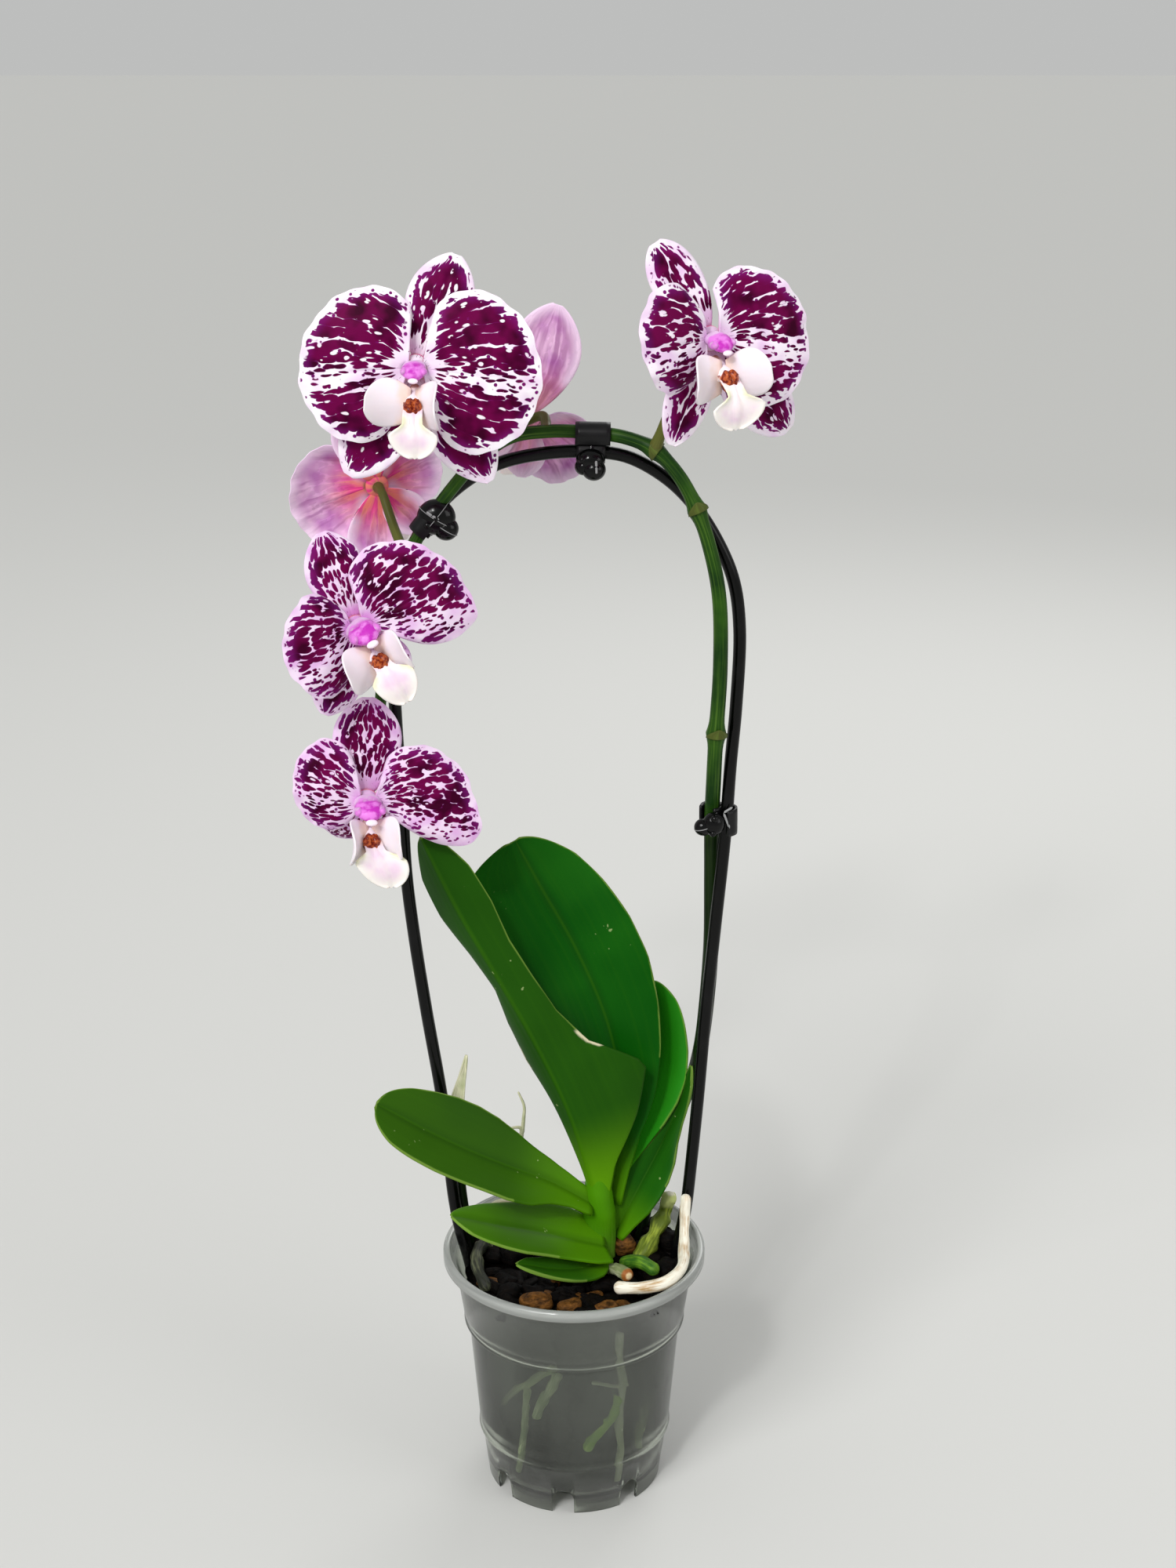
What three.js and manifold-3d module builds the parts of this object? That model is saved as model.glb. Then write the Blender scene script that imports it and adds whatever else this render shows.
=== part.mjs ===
// A potted miniature moth orchid: six blooms on one stem that is clipped along a wire hoop.
// Millimetres, +Z up. The origin is the middle of the pot's foot, the pot's front is toward -Y.

import * as THREE from 'three';
import { mergeVertices } from 'three/addons/utils/BufferGeometryUtils.js';
import Module from 'manifold-3d';

const wasm = await Module();
wasm.setup();

// Driving dimensions
const clearance = 0.35;
const wireRoom = 0.45;

const pot = {
  rimRadius: 45,
  rimInnerRadius: 42.5,
  rimBottom: 83.8,
  rimTop: 87.6,
  wall: 1.1,
  footRadius: 30.4,
  discRadius: 20,
  floorUnder: 6.2,
  floorTop: 7.6,
  lowerRingZ: 19.1,
  lowerRingRadius: 33.6,
  upperRingZ: 61.4,
  upperRingRadius: 38.2,
  shoulderRadius: 41.2,
  notches: 8,
  notchFromFront: 38,
  notchWidth: 7.5,
  notchHeight: 9.4,
  sides: 36,
};

const mix = {
  top: 79,
  bump: 2.2,
  sectors: 20,
  rings: [11, 20, 28, 35],
};

const hoopWire = { radius: 2.1, sides: 6, steps: 48 };
const stemSize = { foot: 2.3, middle: 2.65, tip: 1.8, sides: 6, steps: 32 };
const pedicelSize = { rootRadius: 1.7, tipRadius: 1.35, sides: 6, steps: 4 };
const clipSize = { bandRadius: 3.4, bandLength: 11, collarRadius: 3.4, collarLength: 9 };
const petalThickness = 0.8;
const lipThickness = 0.9;
const leafThickness = 1.9;

const colours = {
  pot: 0xb9bfbc,
  mix: 0x1d120d,
  leaf: 0x1f5a16,
  youngLeaf: 0x4c9a14,
  stem: 0x2f5a1e,
  wire: 0x0b0b0c,
  petal: 0x7a1a60,
  lip: 0xf6eee8,
  callus: 0xb0481e,
  column: 0xcc38c4,
  dryRoot: 0xe9e4cf,
  greenRoot: 0x5f9a22,
  greyRoot: 0x8f9a78,
  bract: 0xd9d6b4,
};

// Helpers for vectors, curves and solids

const radians = THREE.MathUtils.degToRad;
const degrees = THREE.MathUtils.radToDeg;
const v3 = (x, y, z) => new THREE.Vector3(x, y, z);

function curveThrough(points) {
  return new THREE.CatmullRomCurve3(points.map((p) => v3(...p)), false, 'centripetal');
}

function material(colour, roughness, metalness = 0) {
  return new THREE.MeshStandardMaterial({ color: colour, roughness, metalness });
}

function geometryFrom(vertices, faces) {
  const geometry = new THREE.BufferGeometry();
  const numbers = vertices.flatMap((p) => [p.x, p.y, p.z]);
  geometry.setAttribute('position', new THREE.Float32BufferAttribute(numbers, 3));
  geometry.setIndex(faces.flat());
  return geometry;
}

function solidOf(geometry) {
  const bare = geometry.clone();
  bare.deleteAttribute('normal');
  bare.deleteAttribute('uv');
  const merged = mergeVertices(bare, 1e-3);
  return new wasm.Manifold(
    new wasm.Mesh({
      numProp: 3,
      vertProperties: new Float32Array(merged.attributes.position.array),
      triVerts: new Uint32Array(merged.index.array),
    }),
  );
}

function geometryOf(solid) {
  const mesh = solid.getMesh();
  const geometry = new THREE.BufferGeometry();
  geometry.setAttribute('position', new THREE.BufferAttribute(mesh.vertProperties, 3));
  geometry.setIndex(new THREE.BufferAttribute(mesh.triVerts, 1));
  return geometry.toNonIndexed();
}

function join(solids) {
  return solids.reduce((whole, next) => whole.add(next));
}

// The biggest body of a solid: a cut can leave loose scraps.
function biggest(solid) {
  return solid.decompose().reduce((best, next) => (next.volume() > best.volume() ? next : best));
}

// Pseudo-random number between -1 and 1 that a number always gives.
function hash(n) {
  const s = Math.sin(n * 127.1 + 311.7) * 43758.5453;
  return 2 * (s - Math.floor(s)) - 1;
}

// A closed body from rings of points with equal counts, its two ends closed by fans.
function loft(rings) {
  const count = rings[0].length;
  const faces = [];
  for (let r = 0; r + 1 < rings.length; r += 1) {
    for (let k = 0; k < count; k += 1) {
      const a = r * count + k;
      const b = r * count + ((k + 1) % count);
      faces.push([a, b, b + count], [a, b + count, a + count]);
    }
  }
  const last = (rings.length - 1) * count;
  for (let k = 1; k + 1 < count; k += 1) {
    faces.push([0, k + 1, k]);
    faces.push([last, last + k, last + k + 1]);
  }
  return geometryFrom(rings.flat(), faces);
}

// A round rod along a curve, whose radius is a function of the share of its length.
function rod(curve, radiusAt, sides, steps) {
  const frames = curve.computeFrenetFrames(steps, false);
  const rings = [];
  for (let i = 0; i <= steps; i += 1) {
    const centre = curve.getPointAt(i / steps);
    const ring = [];
    for (let k = 0; k < sides; k += 1) {
      const turn = (2 * Math.PI * k) / sides;
      const out = frames.normals[i].clone().multiplyScalar(Math.cos(turn));
      out.addScaledVector(frames.binormals[i], Math.sin(turn));
      ring.push(centre.clone().addScaledVector(out, radiusAt(i / steps)));
    }
    rings.push(ring);
  }
  return loft(rings);
}

const steady = (radius) => () => radius;
const tapered = (from, to) => (t) => from + (to - from) * t;

// A thin plate on a surface(a, b), with a from 0 to 1 and b from -1 to 1, split alike on both faces.
function blade(along, across, surface, thickness) {
  const step = 1e-3;
  const vertices = [];
  const rows = along.length;
  const cols = across.length;
  for (const side of [0.5, -0.5]) {
    for (const a of along) {
      for (const b of across) {
        const alongA = surface(Math.min(a + step, 1), b).sub(surface(Math.max(a - step, 0), b));
        const acrossB = surface(a, Math.min(b + step, 1)).sub(surface(a, Math.max(b - step, -1)));
        const normal = alongA.cross(acrossB).normalize();
        vertices.push(surface(a, b).addScaledVector(normal, side * thickness));
      }
    }
  }
  const at = (face, i, j) => face * rows * cols + i * cols + j;
  const faces = [];
  const quad = (p, q, r, s) => faces.push([p, q, r], [p, r, s]);
  for (let i = 0; i + 1 < rows; i += 1) {
    for (let j = 0; j + 1 < cols; j += 1) {
      faces.push([at(0, i, j), at(0, i + 1, j + 1), at(0, i, j + 1)]);
      faces.push([at(0, i, j), at(0, i + 1, j), at(0, i + 1, j + 1)]);
      faces.push([at(1, i, j), at(1, i, j + 1), at(1, i + 1, j + 1)]);
      faces.push([at(1, i, j), at(1, i + 1, j + 1), at(1, i + 1, j)]);
    }
    quad(at(0, i, 0), at(1, i, 0), at(1, i + 1, 0), at(0, i + 1, 0));
    quad(at(0, i, cols - 1), at(0, i + 1, cols - 1), at(1, i + 1, cols - 1), at(1, i, cols - 1));
  }
  for (let j = 0; j + 1 < cols; j += 1) {
    quad(at(0, 0, j), at(0, 0, j + 1), at(1, 0, j + 1), at(1, 0, j));
    quad(at(0, rows - 1, j), at(1, rows - 1, j), at(1, rows - 1, j + 1), at(0, rows - 1, j + 1));
  }
  return geometryFrom(vertices, faces);
}

// Steps from one end to the other that crowd toward the second end.
function stepsTo(from, to, count) {
  const share = (i) => Math.sin((Math.PI * i) / (2 * count));
  return Array.from({ length: count + 1 }, (_, i) => from + (to - from) * share(i));
}

function evenSteps(count) {
  return Array.from({ length: count + 1 }, (_, i) => -1 + (2 * i) / count);
}

// Half width of a leaf or sepal as a share of its widest place.
function outline(a, start, peak, blunt) {
  const t = start + (1 - start) * a;
  const power = Math.log(0.5) / Math.log(peak);
  return Math.max(Math.sin(Math.PI * t ** power), 0) ** blunt;
}

// Pot: a turned thin wall with a rim, two moulded rings, a flat middle disc and arched drain notches

function potOuterAt(z) {
  if (z > pot.upperRingZ) {
    const t = (z - pot.upperRingZ) / (pot.rimBottom - pot.upperRingZ);
    return pot.upperRingRadius - 0.3 + (pot.shoulderRadius - pot.upperRingRadius + 0.3) * t;
  }
  if (z > pot.lowerRingZ) {
    const t = (z - pot.lowerRingZ) / (pot.upperRingZ - pot.lowerRingZ);
    return pot.lowerRingRadius - 0.5 + (pot.upperRingRadius - 1.5 - pot.lowerRingRadius + 0.5) * t;
  }
  return pot.footRadius + ((pot.lowerRingRadius - 1 - pot.footRadius) * z) / pot.lowerRingZ;
}

function ringBulge(z, radius) {
  return [
    [potOuterAt(z - 1.4), z - 1.4],
    [radius, z],
    [potOuterAt(z + 1.2), z + 1.2],
  ];
}

function potGeometry() {
  const inner = (z) => [potOuterAt(z) - pot.wall, z];
  const profile = [
    [0, 0],
    [pot.discRadius, 0],
    [pot.discRadius + 1.6, pot.floorUnder],
    [potOuterAt(pot.floorUnder) - 1.2, pot.floorUnder],
    [pot.footRadius - 1.2, 0],
    [pot.footRadius, 0],
    ...ringBulge(pot.lowerRingZ, pot.lowerRingRadius),
    ...ringBulge(pot.upperRingZ, pot.upperRingRadius),
    [pot.shoulderRadius, pot.rimBottom],
    [pot.rimRadius, pot.rimBottom],
    [pot.rimRadius, pot.rimTop - 0.7],
    [pot.rimRadius - 0.9, pot.rimTop],
    [pot.rimInnerRadius + 0.5, pot.rimTop - 0.1],
    [pot.rimInnerRadius, pot.rimTop - 0.9],
    [pot.rimInnerRadius - 0.3, pot.rimBottom + 1.1],
    [pot.shoulderRadius - pot.wall, pot.rimBottom],
    inner(pot.upperRingZ + 1.2),
    inner(pot.upperRingZ - 1.4),
    inner(pot.lowerRingZ),
    inner(pot.floorTop),
    [pot.discRadius + 0.6, pot.floorTop],
    [pot.discRadius - 0.6, 1.5],
    [0, 1.5],
  ];
  const turned = new THREE.LatheGeometry(profile.map(([r, z]) => new THREE.Vector2(r, z)), pot.sides);
  turned.rotateX(Math.PI / 2);
  return turned;
}

// One arched notch through the skirt and the outer floor, reaching out along +X.
function notchGeometry() {
  const half = pot.notchWidth / 2;
  const arch = new THREE.Shape();
  arch.moveTo(-half, -1);
  arch.lineTo(half, -1);
  arch.lineTo(half, pot.notchHeight - half);
  arch.absarc(0, pot.notchHeight - half, half, 0, Math.PI, false);
  arch.closePath();
  const cut = new THREE.ExtrudeGeometry(arch, { depth: 12, bevelEnabled: false, curveSegments: 2 });
  cut.rotateX(Math.PI / 2);
  cut.rotateZ(Math.PI / 2);
  cut.translate(24, 0, 0);
  return cut;
}

function potSolid() {
  let body = solidOf(potGeometry());
  for (let i = 0; i < pot.notches; i += 1) {
    const turn = -90 + pot.notchFromFront + (360 * i) / pot.notches;
    body = body.subtract(solidOf(notchGeometry()).rotate([0, 0, turn]));
  }
  return body;
}

// Hoop and flower stem

const hoopPoints = [
  [-30, 2.6, 40],
  [-33.4, 3, 62],
  [-36.6, 3.4, 80],
  [-39.4, 5, 90],
  [-41.6, 8, 101],
  [-45, 13, 134],
  [-50, 15, 168],
  [-53.3, 15, 194],
  [-55.6, 15, 218],
  [-56.4, 15, 243],
  [-57.6, 15, 272],
  [-57.8, 15, 296],
  [-55.4, 15, 316],
  [-49.6, 15, 331],
  [-41.6, 15, 342.5],
  [-32.1, 15, 350.6],
  [-22.2, 15, 355.6],
  [-7.5, 15, 358.6],
  [5.5, 15, 359],
  [17.1, 15, 357.4],
  [29.4, 15, 350.6],
  [38.5, 15, 341.6],
  [46, 15, 330],
  [51.2, 15, 317.5],
  [53.4, 15, 302],
  [52.8, 15, 276],
  [51.4, 15, 256],
  [50.2, 15, 233],
  [47.4, 14, 200],
  [44.7, 13, 169],
  [42.4, 11, 137],
  [40.3, 9, 113],
  [38.7, 7, 98],
  [36.2, 6, 84],
  [33.2, 5.4, 62],
  [29.8, 5, 40],
];

const stemPoints = [
  [21, 15, 66],
  [25, 22, 88],
  [33, 32, 110],
  [40.2, 33, 130],
  [43.6, 24, 150],
  [45, 19.8, 166],
  [46.4, 20, 190],
  [46.2, 20, 215],
  [45.8, 18, 235],
  [45.9, 13.5, 252],
  [46.2, 10.4, 268],
  [47.1, 9.4, 290.5],
  [46.3, 9.2, 313.7],
  [43.3, 8.8, 328.7],
  [38.9, 8.8, 341.7],
  [33, 10, 352.4],
  [25.5, 12, 360],
  [17, 13, 363.6],
  [6, 14.5, 365],
  [-7.4, 13.5, 365.6],
  [-19.5, 11.5, 364],
  [-29.4, 9.8, 357.4],
  [-37.4, 8.8, 348.7],
  [-45.7, 8.6, 337.5],
  [-52.2, 8.8, 326],
  [-57.4, 8.8, 310],
  [-60.6, 8.4, 290],
  [-62.6, 7.6, 270],
  [-63.6, 6.5, 252],
];

const stemNodes = [[46.2, 10.4, 268], [38.9, 8.8, 341.7], [25.5, 12, 360], [-52.2, 8.8, 326]];

function stemRadiusAt(t) {
  if (t < 0.25) return stemSize.foot + (stemSize.middle - stemSize.foot) * (t / 0.25) ** 2;
  return stemSize.middle + (stemSize.tip - stemSize.middle) * ((t - 0.25) / 0.75);
}

function hoopSolid() {
  const ring = new THREE.Shape();
  ring.absarc(0, 0, hoopWire.radius, 0, 2 * Math.PI, false);
  const wire = new THREE.ExtrudeGeometry(ring, {
    steps: hoopWire.steps,
    extrudePath: curveThrough(hoopPoints),
    curveSegments: hoopWire.sides / 2,
  });
  return solidOf(wire);
}

// Blooms. Each has its middle, the way it faces (yaw from the front, pitch up, roll counter-clockwise),
// and its own tepals and lip. Inside a bloom x is right, y is up and z is out of its face.
// aim: degrees from the bloom's right, counter-clockwise. lift: degrees that it leans forward.

const blooms = {
  bloom_a: {
    middle: [-46.1, -16, 389.5],
    turn: { yaw: 0, pitch: 4, roll: -2 },
    sepals: [
      { aim: 71, length: 32.5, half: 10, lift: -4 },
      { aim: 239, length: 37, half: 10, lift: -6 },
      { aim: 304, length: 39, half: 9.5, lift: -8, blunt: 0.7 },
    ],
    petals: [
      { aim: 186, reach: 32.5, ccw: 68, cw: 98, lean: 0.04, lift: 3 },
      { aim: -6, reach: 35.5, ccw: 84, cw: 68, lean: -0.04, lift: 3 },
    ],
    lip: { left: 68, right: 25, sway: 3, wide: 7.2, neck: 0.44 },
    column: 1,
    pedicel: [[-21, 11.5, 363.5], [-30, 7, 371]],
  },
  bloom_b: {
    middle: [41.3, -14, 397.5],
    turn: { yaw: 24, pitch: 2, roll: 6 },
    sepals: [
      { aim: 113, length: 30, half: 8.3, lift: -8, blunt: 0.5 },
      { aim: 244, length: 31, half: 7.5, lift: -4 },
      { aim: 309, length: 40, half: 10, lift: -6, blunt: 0.55 },
    ],
    petals: [
      { aim: 176, reach: 28, ccw: 60, cw: 62, lean: -0.12, lift: 25 },
      { aim: -8, reach: 30.3, ccw: 98, cw: 66, lean: -0.12, lift: 4 },
    ],
    lip: { left: 56, right: 42, sway: -1, wide: 8.6, neck: 0.42 },
    column: 1,
    pedicel: [[25.5, 11, 360.5], [30, 5, 374]],
  },
  bloom_c: {
    middle: [-66, -14, 309.9],
    turn: { yaw: 18, pitch: 8, roll: 24 },
    sepals: [
      { aim: 82, length: 28.5, half: 9.5, lift: -6 },
      { aim: 224, length: 27, half: 8, lift: -6 },
      { aim: 284, length: 24, half: 8, lift: -14 },
    ],
    petals: [
      { aim: 168, reach: 25.5, ccw: 70, cw: 68, lean: 0.12, lift: 27 },
      { aim: 0, reach: 33.5, ccw: 80, cw: 46, lean: -0.16, lift: 4, corner: -26, more: 3.5 },
    ],
    lip: { left: 50, right: 24, sway: 4, wide: 6.8, neck: 0.26 },
    column: 1.3,
    pedicel: [[-57.6, 8.6, 309], [-61, 1, 309]],
  },
  bloom_d: {
    middle: [-65.1, -12, 252.7],
    turn: { yaw: 12, pitch: 6, roll: 0 },
    sepals: [
      { aim: 86, length: 30.5, half: 11, lift: -6 },
      { aim: 238, length: 24, half: 8, lift: -50 },
      { aim: 302, length: 24, half: 8, lift: -50 },
    ],
    petals: [
      { aim: 152, reach: 23.5, ccw: 84, cw: 52, lean: -0.22, lift: 6 },
      { aim: -4, reach: 32.5, ccw: 74, cw: 36, lean: -0.18, lift: 4, corner: -22, more: 5 },
    ],
    lip: { left: 22, right: 30, sway: 16, wide: 8, neck: 0.28 },
    column: 1.25,
    pedicel: [[-63.4, 6.4, 254], [-64.5, 0, 254]],
  },
  bloom_e: {
    middle: [-63.5, 34, 345],
    turn: { yaw: 196, pitch: 6, roll: -28 },
    sepals: [
      { aim: 100, length: 28, half: 9.5, lift: -8 },
      { aim: 252, length: 19, half: 7, lift: -10 },
      { aim: 303, length: 26, half: 9, lift: -10 },
    ],
    petals: [
      { aim: 184, reach: 20.5, ccw: 70, cw: 66, lean: 0, lift: 6 },
      { aim: 9, reach: 26.5, ccw: 78, cw: 62, lean: 0, lift: 6 },
    ],
    lip: { left: 50, right: 50, sway: 0, wide: 7.2, neck: 0.26 },
    column: 1,
    pedicel: [[-52.2, 8.8, 326], [-57, 18, 335]],
  },
  bloom_f: {
    middle: [-13.8, 36, 366.9],
    turn: { yaw: 168, pitch: 4, roll: 30 },
    sepals: [
      { aim: 77, length: 36, half: 11.2, lift: -4 },
      { aim: 245, length: 17, half: 7, lift: -18 },
      { aim: 306, length: 20, half: 8, lift: -20 },
    ],
    petals: [
      { aim: 198, reach: 22.5, ccw: 62, cw: 62, lean: 0, lift: 6 },
      { aim: -4, reach: 24, ccw: 66, cw: 66, lean: 0, lift: 14 },
    ],
    lip: { left: 50, right: 50, sway: 0, wide: 7.2, neck: 0.26 },
    column: 1,
    pedicel: [[-8, 13.4, 365.6], [-9.5, 22, 369]],
  },
};

const tepalRoot = { petal: 2, sepal: 2.5, petalDepth: 0.4, sepalDepth: -2.2 };
const corePose = { radius: 4.2, back: -4, front: 1.5 };

// A petal is a fan whose veins run out from its claw; b turns from one side of the fan to the other.
function petalSurface(petal) {
  const aim = radians(petal.aim);
  const lift = radians(petal.lift);
  const ahead = v3(Math.cos(aim) * Math.cos(lift), Math.sin(aim) * Math.cos(lift), Math.sin(lift));
  const beside = v3(-Math.sin(aim), Math.cos(aim), 0);
  const out = ahead.clone().cross(beside);
  const root = v3(Math.cos(aim) * tepalRoot.petal, Math.sin(aim) * tepalRoot.petal, tepalRoot.petalDepth);
  return (a, b) => {
    const spread = radians(b > 0 ? b * petal.ccw : b * petal.cw);
    const rounding = Math.cos(radians(84 * b)) ** 0.28;
    const corner = petal.more ? petal.more * Math.exp(-(((degrees(spread) - petal.corner) / 13) ** 2)) : 0;
    const reach = (petal.reach * (1 + petal.lean * Math.sin(spread)) + corner) * rounding * a;
    const arch = 2.2 * Math.sin(Math.PI * a) - 1.6 * a ** 3 + 0.8 * a ** 3 * Math.sin(5 * spread + petal.aim);
    return root
      .clone()
      .addScaledVector(ahead, reach * Math.cos(spread))
      .addScaledVector(beside, reach * Math.sin(spread))
      .addScaledVector(out, arch);
  };
}

function sepalSurface(sepal) {
  const aim = radians(sepal.aim);
  const lift = radians(sepal.lift);
  const ahead = v3(Math.cos(aim) * Math.cos(lift), Math.sin(aim) * Math.cos(lift), Math.sin(lift));
  const beside = v3(-Math.sin(aim), Math.cos(aim), 0);
  const out = ahead.clone().cross(beside);
  const root = v3(Math.cos(aim) * tepalRoot.sepal, Math.sin(aim) * tepalRoot.sepal, tepalRoot.sepalDepth);
  return (a, b) => {
    const half = sepal.half * outline(a, 0.06, 0.58, sepal.blunt ?? 0.62);
    const arch = 1.6 * Math.sin(Math.PI * a) - 1.2 * b * b * Math.sin(Math.PI * a);
    return root
      .clone()
      .addScaledVector(ahead, sepal.length * a)
      .addScaledVector(beside, half * b)
      .addScaledVector(out, arch);
  };
}

function coreSolid() {
  const core = new THREE.SphereGeometry(1, 7, 4);
  const depth = (corePose.front - corePose.back) / 2;
  core.rotateX(Math.PI / 2);
  core.scale(corePose.radius, corePose.radius, depth);
  core.translate(0, 0, corePose.front - depth);
  return solidOf(core);
}

function tepalsSolid(bloom) {
  const petals = bloom.petals.map((petal) =>
    solidOf(blade([0.06, 0.5, 0.86, 1], evenSteps(8), petalSurface(petal), petalThickness)),
  );
  const sepals = bloom.sepals.map((sepal) =>
    solidOf(blade(stepsTo(0, 0.985, 4), evenSteps(2), sepalSurface(sepal), petalThickness)),
  );
  return biggest(join([coreSolid(), ...petals, ...sepals]));
}

// A lip lobe: a cupped disc from a root toward a tip, with its width along side.
function lobeSurface(root, tip, side, half, cup) {
  const ahead = tip.clone().sub(root);
  const beside = side.clone().addScaledVector(ahead, -side.dot(ahead) / ahead.lengthSq()).normalize();
  const out = ahead.clone().cross(beside).normalize();
  return (a, b) =>
    root
      .clone()
      .addScaledVector(ahead, a)
      .addScaledVector(beside, half * b * outline(a, 0.16, 0.55, 0.46))
      .addScaledVector(out, cup * (4 * a * (1 - a) + b * b * Math.sin(Math.PI * a)));
}

const lipSize = { lobeReach: 14.6, lobeHalf: 7.2, lobeCup: 1.8, tongueNeck: 2.9 };
const columnShape = { across: 1.2, upright: 0.74 };
const callusPlace = { y: -11.6, z: 9.2, radii: [2.6, 3.2, 2.2] };

function callusSolid(grow) {
  const [x, y, z] = callusPlace.radii;
  const knob = new THREE.SphereGeometry(1, 6, 4);
  knob.scale(x + grow, y + grow, z + grow);
  knob.translate(0, callusPlace.y, callusPlace.z);
  return solidOf(knob);
}

function lobeSolid(turn, sign) {
  const angle = radians(turn);
  const root = v3(sign * 0.6, -10.6, 6);
  const tip = v3(
    sign * (0.6 + lipSize.lobeReach * Math.sin(angle)),
    -10.2,
    6 + lipSize.lobeReach * Math.cos(angle),
  );
  const surface = lobeSurface(root, tip, v3(0, 1, 0.1), lipSize.lobeHalf, -sign * lipSize.lobeCup);
  return solidOf(blade(stepsTo(0.02, 0.97, 3), evenSteps(4), surface, lipThickness));
}

// The tongue runs forward from the saddle on a narrow neck, then turns down and spreads like a trowel;
// sway moves its tip sideways.
function tongueSolid({ sway, wide, neck }) {
  const side = 0.34 * sway;
  const middle = curveThrough([
    [0, -10, 7],
    [0.2 * side, -14, 11.6],
    [0.6 * side, -19.5, 12.8],
    [side, -26, 10.8],
  ]);
  const surface = (a, b) => {
    const swell = THREE.MathUtils.smoothstep(a, neck, neck + 0.22);
    const closing = THREE.MathUtils.clamp((a - 0.18 - neck) / (0.82 - neck), 0, 1);
    const full = lipSize.tongueNeck + (wide - lipSize.tongueNeck) * swell;
    const half = full * Math.max(1 - closing ** 2.3, 0.0004) ** 0.55;
    const started = THREE.MathUtils.clamp((a - 0.2) / 0.3, 0, 1);
    const curl = 2.6 * Math.abs(b) ** 2.4 * started * (1 - 0.5 * a);
    return middle.getPoint(a).add(v3(half * b, 0.3 * Math.abs(b), curl));
  };
  const rows = [0.02, neck, neck + 0.2, 0.5 * neck + 0.6, 0.94, 0.985];
  return solidOf(blade(rows, evenSteps(4), surface, lipThickness));
}

function lipSolid(bloom) {
  const claw = rod(curveThrough([[0, -6, 0.2], [0, -8, 3.4], [0, -11, 7.2]]), tapered(1.5, 2.7), 5, 2);
  const whole = join([
    solidOf(claw),
    lobeSolid(bloom.lip.left, -1),
    lobeSolid(bloom.lip.right, 1),
    tongueSolid(bloom.lip),
  ]);
  return biggest(whole.subtract(callusSolid(clearance)));
}

// A low hood, wider than tall, that leans over the lip
function columnSolid(scale) {
  const radiusAt = (t) => scale * (2 + 0.9 * Math.sin(Math.PI * Math.min(0.25 + 0.62 * t, 1)));
  const path = curveThrough([
    [0, 0.4, 1.9 + 2.4 * (scale - 1)],
    [0, -0.54 * scale, 5 * scale],
    [0, -3.5 * scale, 9.4 * scale],
  ]);
  const hood = rod(path, radiusAt, 7, 3);
  hood.scale(columnShape.across, columnShape.upright, 1);
  return solidOf(hood);
}

// Where a bloom's frame stands in the plant
function bloomPose(bloom) {
  const { yaw, pitch, roll } = bloom.turn;
  const turned = new THREE.Quaternion()
    .setFromAxisAngle(v3(0, 0, 1), radians(yaw))
    .multiply(new THREE.Quaternion().setFromAxisAngle(v3(1, 0, 0), radians(90 - pitch)))
    .multiply(new THREE.Quaternion().setFromAxisAngle(v3(0, 0, 1), radians(roll)));
  return new THREE.Matrix4().compose(v3(...bloom.middle), turned, v3(1, 1, 1));
}

function pedicelSolid(bloom) {
  const pose = bloomPose(bloom);
  const back = corePose.back - clearance;
  const before = v3(0, 0, back - 6).applyMatrix4(pose);
  const end = v3(0, 0, back).applyMatrix4(pose);
  const path = curveThrough([...bloom.pedicel, before.toArray(), end.toArray()]);
  const radiusAt = tapered(pedicelSize.rootRadius, pedicelSize.tipRadius);
  return solidOf(rod(path, radiusAt, pedicelSize.sides, pedicelSize.steps));
}

function stemSolid() {
  const path = curveThrough(stemPoints);
  const shaft = solidOf(rod(path, stemRadiusAt, stemSize.sides, stemSize.steps));
  const joints = stemNodes.map(([x, y, z]) => {
    const knob = new THREE.SphereGeometry(3.3, 7, 4);
    knob.translate(x, y, z);
    return solidOf(knob);
  });
  return biggest(join([shaft, ...joints, ...Object.values(blooms).map(pedicelSolid)]));
}

// Clips: a band round the stem, a collar round the wire, and knobs that grip
const clips = {
  clip_top: {
    band: [6.3, 14.4, 364.5],
    collar: [5.7, 14.8, 359],
    along: [1, 0, -0.02],
    knobs: [{ at: [5.8, 11.4, 356], size: [4.5, 4, 5.2] }],
  },
  clip_left: {
    band: [-45.7, 8.6, 337.5],
    collar: [-45, 15, 337],
    along: [-0.62, 0.02, -0.78],
    knobs: [
      { at: [-42.6, 8.4, 339.6], size: [6.2, 4.4, 5.8] },
      { at: [-38.6, 8.6, 334.4], size: [3.4, 3.4, 3.2] },
    ],
  },
  clip_right: {
    band: [45.85, 17.6, 237],
    collar: [50.2, 15, 237],
    along: [0.02, 0.06, -1],
    knobs: [
      { at: [42.4, 11.6, 236.4], size: [2.9, 2.9, 2.9] },
      { at: [47, 11, 236.2], size: [3.1, 3.1, 3.1] },
    ],
  },
};

function clipSolid(clip) {
  const along = v3(...clip.along).normalize();
  const tubeAt = (point, radius, length) => {
    const from = v3(...point).addScaledVector(along, -length / 2);
    const to = v3(...point).addScaledVector(along, length / 2);
    return solidOf(rod(new THREE.LineCurve3(from, to), steady(radius), 8, 1));
  };
  const knobs = clip.knobs.map((knob) => {
    const ball = new THREE.SphereGeometry(1, 7, 4);
    ball.scale(...knob.size);
    ball.translate(...knob.at);
    return solidOf(ball);
  });
  return join([
    tubeAt(clip.band, clipSize.bandRadius, clipSize.bandLength),
    tubeAt(clip.collar, clipSize.collarRadius, clipSize.collarLength),
    ...knobs,
  ]);
}

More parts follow.
